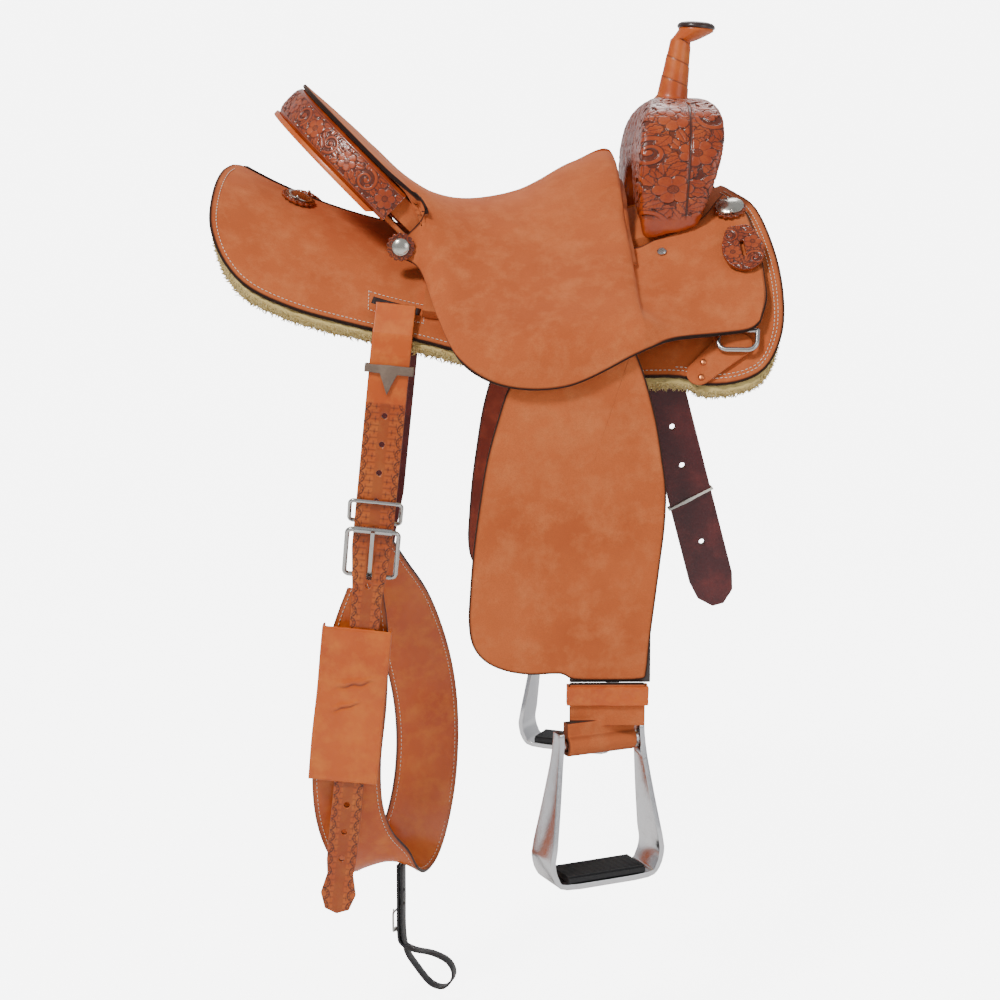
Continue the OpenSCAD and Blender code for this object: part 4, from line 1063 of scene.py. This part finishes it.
# ---------- horn ----------
foot = np.array([191.0, 0, 158.0])
lean = math.radians(8)
up = np.array([math.sin(lean), 0, math.cos(lean)])
fwd = np.array([math.cos(lean), 0, -math.sin(lean)])
tilt = math.radians(4)
cap_n = np.array([math.sin(tilt), 0, math.cos(tilt)])
cap_f = np.array([math.cos(tilt), 0, -math.sin(tilt)])
cap_c = foot + fwd * 15 + up * 90
rings = []
ang = np.arange(96) * 2 * math.pi / 96
for h in np.linspace(4, 74, 90):
    r = 18.5 - 7.5 * h / 78
    r = r + 4.5 * math.exp(-((h - 4) / 5.0) ** 2)
    # the wrap's overlapping turns
    ph = (h / 78 * 3.4 + ang / (2 * math.pi)) % 1
    r = r + 0.55 * (ph - 0.5) - 0.5 * np.exp(-(np.minimum(ph, 1 - ph) / 0.02) ** 2)
    rings.append(foot + up * h + r[:, None] * (np.cos(ang)[:, None] * fwd + np.sin(ang)[:, None] * np.array([0, 1, 0])))
neck_top = rings[-1]
under = cap_c - cap_n * 3 + 19.5 * (np.cos(ang)[:, None] * cap_f + np.sin(ang)[:, None] * np.array([0, 1, 0]))
for f in np.linspace(0, 1, 18)[1:]:
    g = f ** 1.25
    rings.append(neck_top * (1 - g) + under * g + up * 2.0 * math.sin(math.pi * f) * -0.5)
rings.append(cap_c - cap_n * 0 + 19.6 * (np.cos(ang)[:, None] * cap_f + np.sin(ang)[:, None] * np.array([0, 1, 0])))
rings.append(cap_c + 2 * (np.cos(ang)[:, None] * cap_f + np.sin(ang)[:, None] * np.array([0, 1, 0])))
V = np.vstack(rings)
k = len(ang)
F = []
for r in range(len(rings) - 1):
    for i in range(k):
        F.append([r * k + i, r * k + (i + 1) % k, (r + 1) * k + (i + 1) % k, (r + 1) * k + i])
hv = (V - foot) @ up
pha = (hv / 78 * 3.4 + np.tile(ang, len(rings)) / (2 * math.pi)) % 1
seam = np.exp(-(np.minimum(pha, 1 - pha) / 0.03) ** 2) * (hv < 76)
mesh("horn_wrap_leather", V, F, MAT["smooth"], "tree", ["horn_wrap"], {"edge": seam * 0.75})
cap = []
for r, h in ((0.5, 7.2), (8, 7.0), (14, 6.4), (18, 5.4), (20.2, 3.8), (21.2, 1.8), (21.0, 0.2), (20.0, -0.8),
    (18.5, -0.6)):
    cap.append(cap_c + cap_n * h + r * (np.cos(ang)[:, None] * cap_f + np.sin(ang)[:, None] * np.array([0, 1, 0])))
V = np.vstack(cap)
F = []
for r in range(len(cap) - 1):
    for i in range(k):
        F.append([r * k + i, (r + 1) * k + i, (r + 1) * k + (i + 1) % k, r * k + (i + 1) % k])
F.append(list(range(k)))
mesh("horn_cap_leather", V, F, MAT["dark"], "tree", ["horn_cap"])
cs = 20.6 * (np.cos(ang)[:, None] * cap_f + np.sin(ang)[:, None] * np.array([0, 1, 0])) + cap_c + cap_n * 2.6
cn = np.cos(ang)[:, None] * cap_f + np.sin(ang)[:, None] * np.array([0, 1, 0]) + cap_n
stitches("horn_cap_stitching", [(np.vstack([cs, cs[:1]]), np.vstack([cn, cn[:1]]))], MAT["thread_dark"],
    "tree",
         pitch=2.6, length=1.8, radius=0.3)

# ---------- fenders ----------
FENDER_SIDE = [[52, -104], [78, -99], [106, -98], [128, -91], [134, -98], [144, -125], [155, -166], [162, -207],
               [166, -238], [165, -275], [161, -311], [156, -353], [151, -395], [148, -428], [142, -436], [107, -437],
               [72, -436], [58, -430], [27, -431], [1, -427], [-20, -417], [-33, -400], [-37, -376], [-36, -350],
               [-32, -300], [-25, -248], [-18, -206], [-7, -165], [6, -128], [24, -113]]
FENDER_MID = -252.5


def fender_plane(p):
    """The right fender's middle surface, slightly waved: (x, z) to points."""
    y = FENDER_MID - 0.9 * np.sin((p[:, 1] + 110) / 160) - 0.7 * smooth_noise(p, 190, 17)
    return np.stack([p[:, 0], y, p[:, 1]], 1)


V, F, A, info = plate(ring_at(FENDER_SIDE, 3), np.array([68.0, -280.0]), fender_plane, 5.0, 2.2, 40)
for side, sg in SIDES:
    o = mesh("fender_leather_" + side, both_sides(V, side), F if side == "right" else flip(F), MAT["roughout"],
             attrs=A)
    o.data.materials.append(MAT["red_lining"])
    inner_face = np.array([(p.normal.y * sg) < -0.6 for p in o.data.polygons])
    o.data.polygons.foreach_set("material_index", inner_face.astype(np.int32))
    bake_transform(o)
    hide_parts("fender_top_" + side, "fender_" + side)


def creased(co, no):
    h = smooth_noise(co, 26, 9) * 0.35 + smooth_noise(co, 9, 10) * 0.12
    return co + no * h[:, None], {}


Yd = (0, 1, 0)
for side, sg in SIDES:
    cad_copy("stirrup_leather_" + side, "stirrup_leather_strap_" + side, MAT["dark"],
        bevel=1.2, segments=3,
             edge_axis=Yd)
    cad_copy("lower_wrap_" + side, "stirrup_wrap_" + side, MAT["roughout"], remesh=1.0, relax=6,
             edge_axis=Yd)
    cad_copy("keeper_band_" + side, "keeper_strap_" + side, MAT["smooth"], remesh=0.9, relax=3,
             displace=creased)
    cad_copy("bar_loop_" + side, "bar_strap_" + side, MAT["smooth"], remesh=1.6, relax=4)
    cad_copy("rigging_plate_" + side, "rigging_leather_" + side, MAT["roughout"],
        bevel=0.7, segments=2)
    cad_copy("stirrup_" + side, "stirrup_frame_" + side, MAT["aluminium"], bevel=2.2, segments=4)

# ---------- straps ----------
c6, s6 = math.cos(math.radians(6)), math.sin(math.radians(6))
BILLET_HALF = 21.0


def billet_tool(from_l, amp):
    """Scalloped borders and basket stamping on both faces of a rear billet, below a distance from its slot, with
    painted shade in the stamping.
    """
    def f(co, no):
        dx, dz = co[:, 0] - SLOT[0], co[:, 2] - SLOT[1]
        L = -(dx * s6 + dz * c6)
        a = dx * c6 - dz * s6
        half = np.where(L > 300, BILLET_HALF - 5, BILLET_HALF - 5 * np.clip((L - 250) / 50, 0, 1))
        from_edge = half - np.abs(a)
        cell = (L / 13.0) % 1 - 0.5
        ring = np.hypot(cell * 13.0, from_edge)
        g = np.exp(-((ring - 6.2) / 0.55) ** 2) + 0.7 * np.exp(-((ring - 3.9) / 0.5) ** 2)
        spokes = np.cos(np.arctan2(from_edge, cell * 13.0) * 9)
        g = g + 0.55 * (spokes > 0.55) * (ring < 6.0) * (ring > 4.1)
        inside = from_edge > 7.0
        row = np.floor(L / 6.5)
        b = ((a + (row % 2) * 4.5) / 9.0) % 1 - 0.5
        weave = np.exp(-(((L / 6.5) % 1 - 0.5) / 0.12) ** 2) + np.exp(-(b / 0.08) ** 2)
        g = np.where(inside & (ring > 6.8), 0.45 * weave, g)
        near_hole = np.abs(a) < 5.5
        g = np.where(near_hole, 0.25, g)
        on = np.clip((L - from_l) / 2, 0, 1) * (np.abs(no[:, 1]) > 0.8)
        g = np.clip(g, 0, 1) * on
        edge = np.clip(1.3 - 1.6 * np.abs(no[:, 1]), 0, 1)
        # tool is painted shade in the stamped cuts and over the stamped faces; edge darkens the strap's sides
        return co - no * (amp * g)[:, None], {"tool": np.clip(g * 0.85 + 0.22 * on, 0, 1), "edge": edge}
    return f


cad_copy("rear_billet_right", "rear_billet_strap_right", MAT["smooth"], remesh=0.9, relax=2,
         displace=billet_tool(96, 0.3))
cad_copy("rear_billet_left", "rear_billet_strap_left", MAT["burgundy"], remesh=1.0,
    relax=2, edge_axis=Yd)
for side, sg in SIDES:
    cad_copy("billet_lace_" + side, "billet_thong_" + side, MAT["lace"], remesh=0.6, relax=3,
        displace=creased)


def two_plies(co, no):
    """The folded strap shows a seam between its plies round the edge."""
    side_on = np.clip(1 - np.abs(no[:, 1]) * 1.5, 0, 1)
    seam = np.exp(-((co[:, 1] + 202) / 0.8) ** 2) * side_on
    return co - no * (seam * 1.0)[:, None], {"edge": np.clip(seam + np.clip(1.2 - 1.6 * np.abs(no[:, 1]), 0, 1), 0, 1)}


cad_copy("off_billet", "off_billet_strap", MAT["burgundy"], remesh=0.9, relax=3, displace=two_plies)
cad_copy("off_billet_tie", "off_billet_string", MAT["string"], remesh=0.5, relax=2, displace=creased)

ROUTE = [[-146, -195, -352], [-152, -195, -400], [-161, -195, -470], [-168, -194, -540], [-166, -184, -600],
         [-152, -160, -648], [-128, -128, -672], [-104, -98, -660], [-90, -78, -616], [-84, -68, -560],
         [-86, -72, -500], [-96, -92, -440], [-112, -124, -380], [-128, -160, -334], [-137, -188, -300]]
ACROSS = [[1, 0, 0], [1, 0, 0], [1, 0, 0], [1, 0.04, 0], [1, 0.14, 0], [1, 0.26, 0], [1, 0.34, 0], [1, 0.38, 0],
          [1, 0.38, 0.02], [1, 0.36, 0.04], [1, 0.32, 0.06], [1, 0.24, 0.08], [1, 0.14, 0.08], [1, 0.06,
              0.06], [1, 0.02, 0.06]]
PART = [0.52, 0.82, 1, 1, 1, 1, 1, 1, 1, 1, 1, 0.98, 0.9, 0.72, 0.52]
V, F, A, (cc, aa, nn, ww) = strap(ROUTE, ACROSS, [74 * p for p in PART], 5.0, 20, 3.0)
V = V + (smooth_noise(V, 80, 31) * 0.5)[:, None] * [0, 1, 0]
mesh("flank_cinch_leather", V, F, MAT["smooth"], "rear_billet_body_right", ["flank_cinch"], A)
lines, lines_in = [], []
for sgn in (-1, 1):
    e = cc + aa * (sgn * (ww / 2 - 5))[:, None]
    lines.append((e - nn * 2.7, -nn))
    lines_in.append((e + nn * 2.7, nn))
stitches("flank_cinch_stitching", lines + lines_in, MAT["thread"], "rear_billet_body_right",
    pitch=4.8, length=3.2,
         radius=0.42)


def pocket(co, no):
    """Two short creases across the upper half of the pocket, with painted shade along the bottom of each."""
    h = smooth_noise(co, 60, 41) * 0.5
    # dark is painted shade along the bottom of each crease, carried in the edge attribute
    dark = np.zeros(len(co))
    mid = (co[:, 0].min() + co[:, 0].max()) / 2
    for z, x, reach in ((-452, 6, 17), (-474, -4, 13)):
        run = np.exp(-((co[:, 0] - mid - x) / reach) ** 4)
        line = co[:, 2] - z - 0.2 * (co[:, 0] - mid) - 1.5 * smooth_noise(co, 16, 43)
        h = h - 1.1 * run * np.exp(-(line / 1.5) ** 2) + 0.9 * run * np.exp(-((line - 4) / 2.6) ** 2)
        dark = np.maximum(dark, 0.7 * run * np.exp(-(line / 1.1) ** 2))
    return co + no * h[:, None], {"edge": dark}


cad_copy("cinch_pocket", "cinch_keeper_pocket", MAT["smooth"], remesh=1.3, relax=3, displace=pocket)
cad_copy("connector_strap", "connector_strap_leather", MAT["black"], bevel=0.5, segments=2)

# ---------- fittings ----------
def tool_flat(seed, pitch, amp):
    def f(co, no):
        at = np.zeros(len(co))
        out = co.copy()
        # each rosette or keeper is a separate patch: split by place
        key = np.round(co[:, 1] > 0).astype(int) * 10 + np.digitize(co[:, 0], [-150, 60])
        for k in np.unique(key):
            s = key == k
            c = co[s].mean(0)
            w, ax = np.linalg.eigh(np.cov((co[s] - c).T))
            p = (co[s] - c) @ ax[:, 2]
            q = (co[s] - c) @ ax[:, 1]
            nrm = np.abs(no[s] @ ax[:, 0])
            items = floral(90, 90, pitch, seed, 0.42)
            Hh, Gg = tool(p + 45, q + 45, items)
            flat = np.clip((nrm - 0.8) / 0.15, 0, 1)
            out[s] = co[s] + no[s] * (amp * Hh * flat)[:, None]
            # painted shade in the cuts and background of the tooling
            at[s] = 0.35 + (Gg * 0.9 - 0.35) * flat
        return out, {"tool": at}
    return f


cad_copy("rosettes", "concho_rosettes", MAT["tooled"], remesh=0.6, relax=2,
    displace=tool_flat(5, 12, 0.3))
for side, sg in SIDES:
    cad_copy("latigo_keeper_" + side, "latigo_keeper_tooled_" + side, MAT["tooled"],
        remesh=0.6, relax=2,
             displace=tool_flat(9, 22, 0.45))
cad_copy("conchos_oval", "concho_ovals", MAT["silver"], bevel=0.5, segments=2)
cad_copy("conchos_round", "concho_rounds", MAT["silver"], bevel=0.5, segments=2)

paint = {
    "nickel": ["rigging_dee_right", "rigging_dee_left", "jockey_screws", "upper_buckle", "lower_buckle",
               "buckle_tongue", "buckle_roller", "connector_buckle", "connector_tongue"],
    "copper": ["rigging_rivets"],
    "rubber": ["stirrup_tread_right", "stirrup_tread_left"],
    "roughout": ["bar_right", "bar_left", "cantle_board"],
    "steel_dark": ["horn_core", "ground_seat"],
}
for m, nodes in paint.items():
    for n in nodes:
        NODES[n].data.materials.clear()
        NODES[n].data.materials.append(MAT[m])

# ---------- stage ----------
def area_light(name, pos, target, size, power, colour=(1, 1, 1)):
    l = bpy.data.lights.new(name, "AREA")
    l.shape = "DISK"
    l.size = size
    l.energy = power
    l.color = colour
    o = bpy.data.objects.new(name, l)
    bpy.context.scene.collection.objects.link(o)
    o.location = pos
    d = Vector(target) - Vector(pos)
    o.rotation_euler = d.to_track_quat("-Z", "Y").to_euler()


# name, place, what it points at, size and power; then the key light's warm colour
area_light("key", (-1.5, -2.1, 2.4), (0, 0, -0.1), 0.7, 92, (1, 0.98, 0.95))
area_light("fill", (2.4, -2.4, 0.6), (0, 0, -0.3), 2.0, 20)
area_light("back", (0.4, 2.0, 2.2), (0, 0, 0), 1.6, 30)
SKY, SKY_STRENGTH = (0.95, 0.96, 1.0, 1), 0.42
world = bpy.data.worlds.new("world")
bpy.context.scene.world = world
world.use_nodes = True
world.node_tree.nodes["Background"].inputs[0].default_value = SKY
world.node_tree.nodes["Background"].inputs[1].default_value = SKY_STRENGTH
# a pale floor that sweeps up behind
# The floor's glow as it lights the saddle, and as the camera sees it
FLOOR_GLOW, FLOOR_GLOW_SEEN = 0.05, 6.0
FLOOR_GAP, FLOOR_FRONT, FLOOR_BEND, BEND_R, FLOOR_TOP = 0.02, -7.0, 2.6, 1.5, 6.0
fz = cad_lo[2] - FLOOR_GAP
sweep = [(FLOOR_FRONT, fz), (FLOOR_BEND, fz)]
for t in np.linspace(0.1, math.pi / 2, 14):
    sweep.append((FLOOR_BEND + BEND_R * math.sin(t), fz + BEND_R - BEND_R * math.cos(t)))
sweep.append((FLOOR_BEND + BEND_R, FLOOR_TOP))
fv = [(x, y, z) for y, z in sweep for x in (-9, 9)]
ff = [[2 * i, 2 * i + 1, 2 * i + 3, 2 * i + 2] for i in range(len(sweep) - 1)]
floor_mesh = bpy.data.meshes.new("floor")
floor_mesh.from_pydata(fv, [], ff)
floor_mesh.polygons.foreach_set("use_smooth", np.ones(len(ff), bool))
floor = bpy.data.objects.new("floor", floor_mesh)
bpy.context.scene.collection.objects.link(floor)
floor_mat, floor_tree, floor_bsdf = node_tree("floor_paint")
floor_bsdf.inputs["Base Color"].default_value = (0.93, 0.93, 0.93, 1)
floor_bsdf.inputs["Roughness"].default_value = 0.9
floor_bsdf.inputs["Specular IOR Level"].default_value = 0.0
floor_bsdf.inputs["Emission Color"].default_value = (1, 1, 1, 1)
seen = floor_tree.nodes.new("ShaderNodeLightPath").outputs["Is Camera Ray"]
floor_tree.links.new(remap(floor_tree, seen, 0, 1, FLOOR_GLOW, FLOOR_GLOW_SEEN), floor_bsdf.inputs["Emission Strength"])
floor_mesh.materials.append(floor_mat)
floor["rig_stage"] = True

bpy.context.view_layer.update()
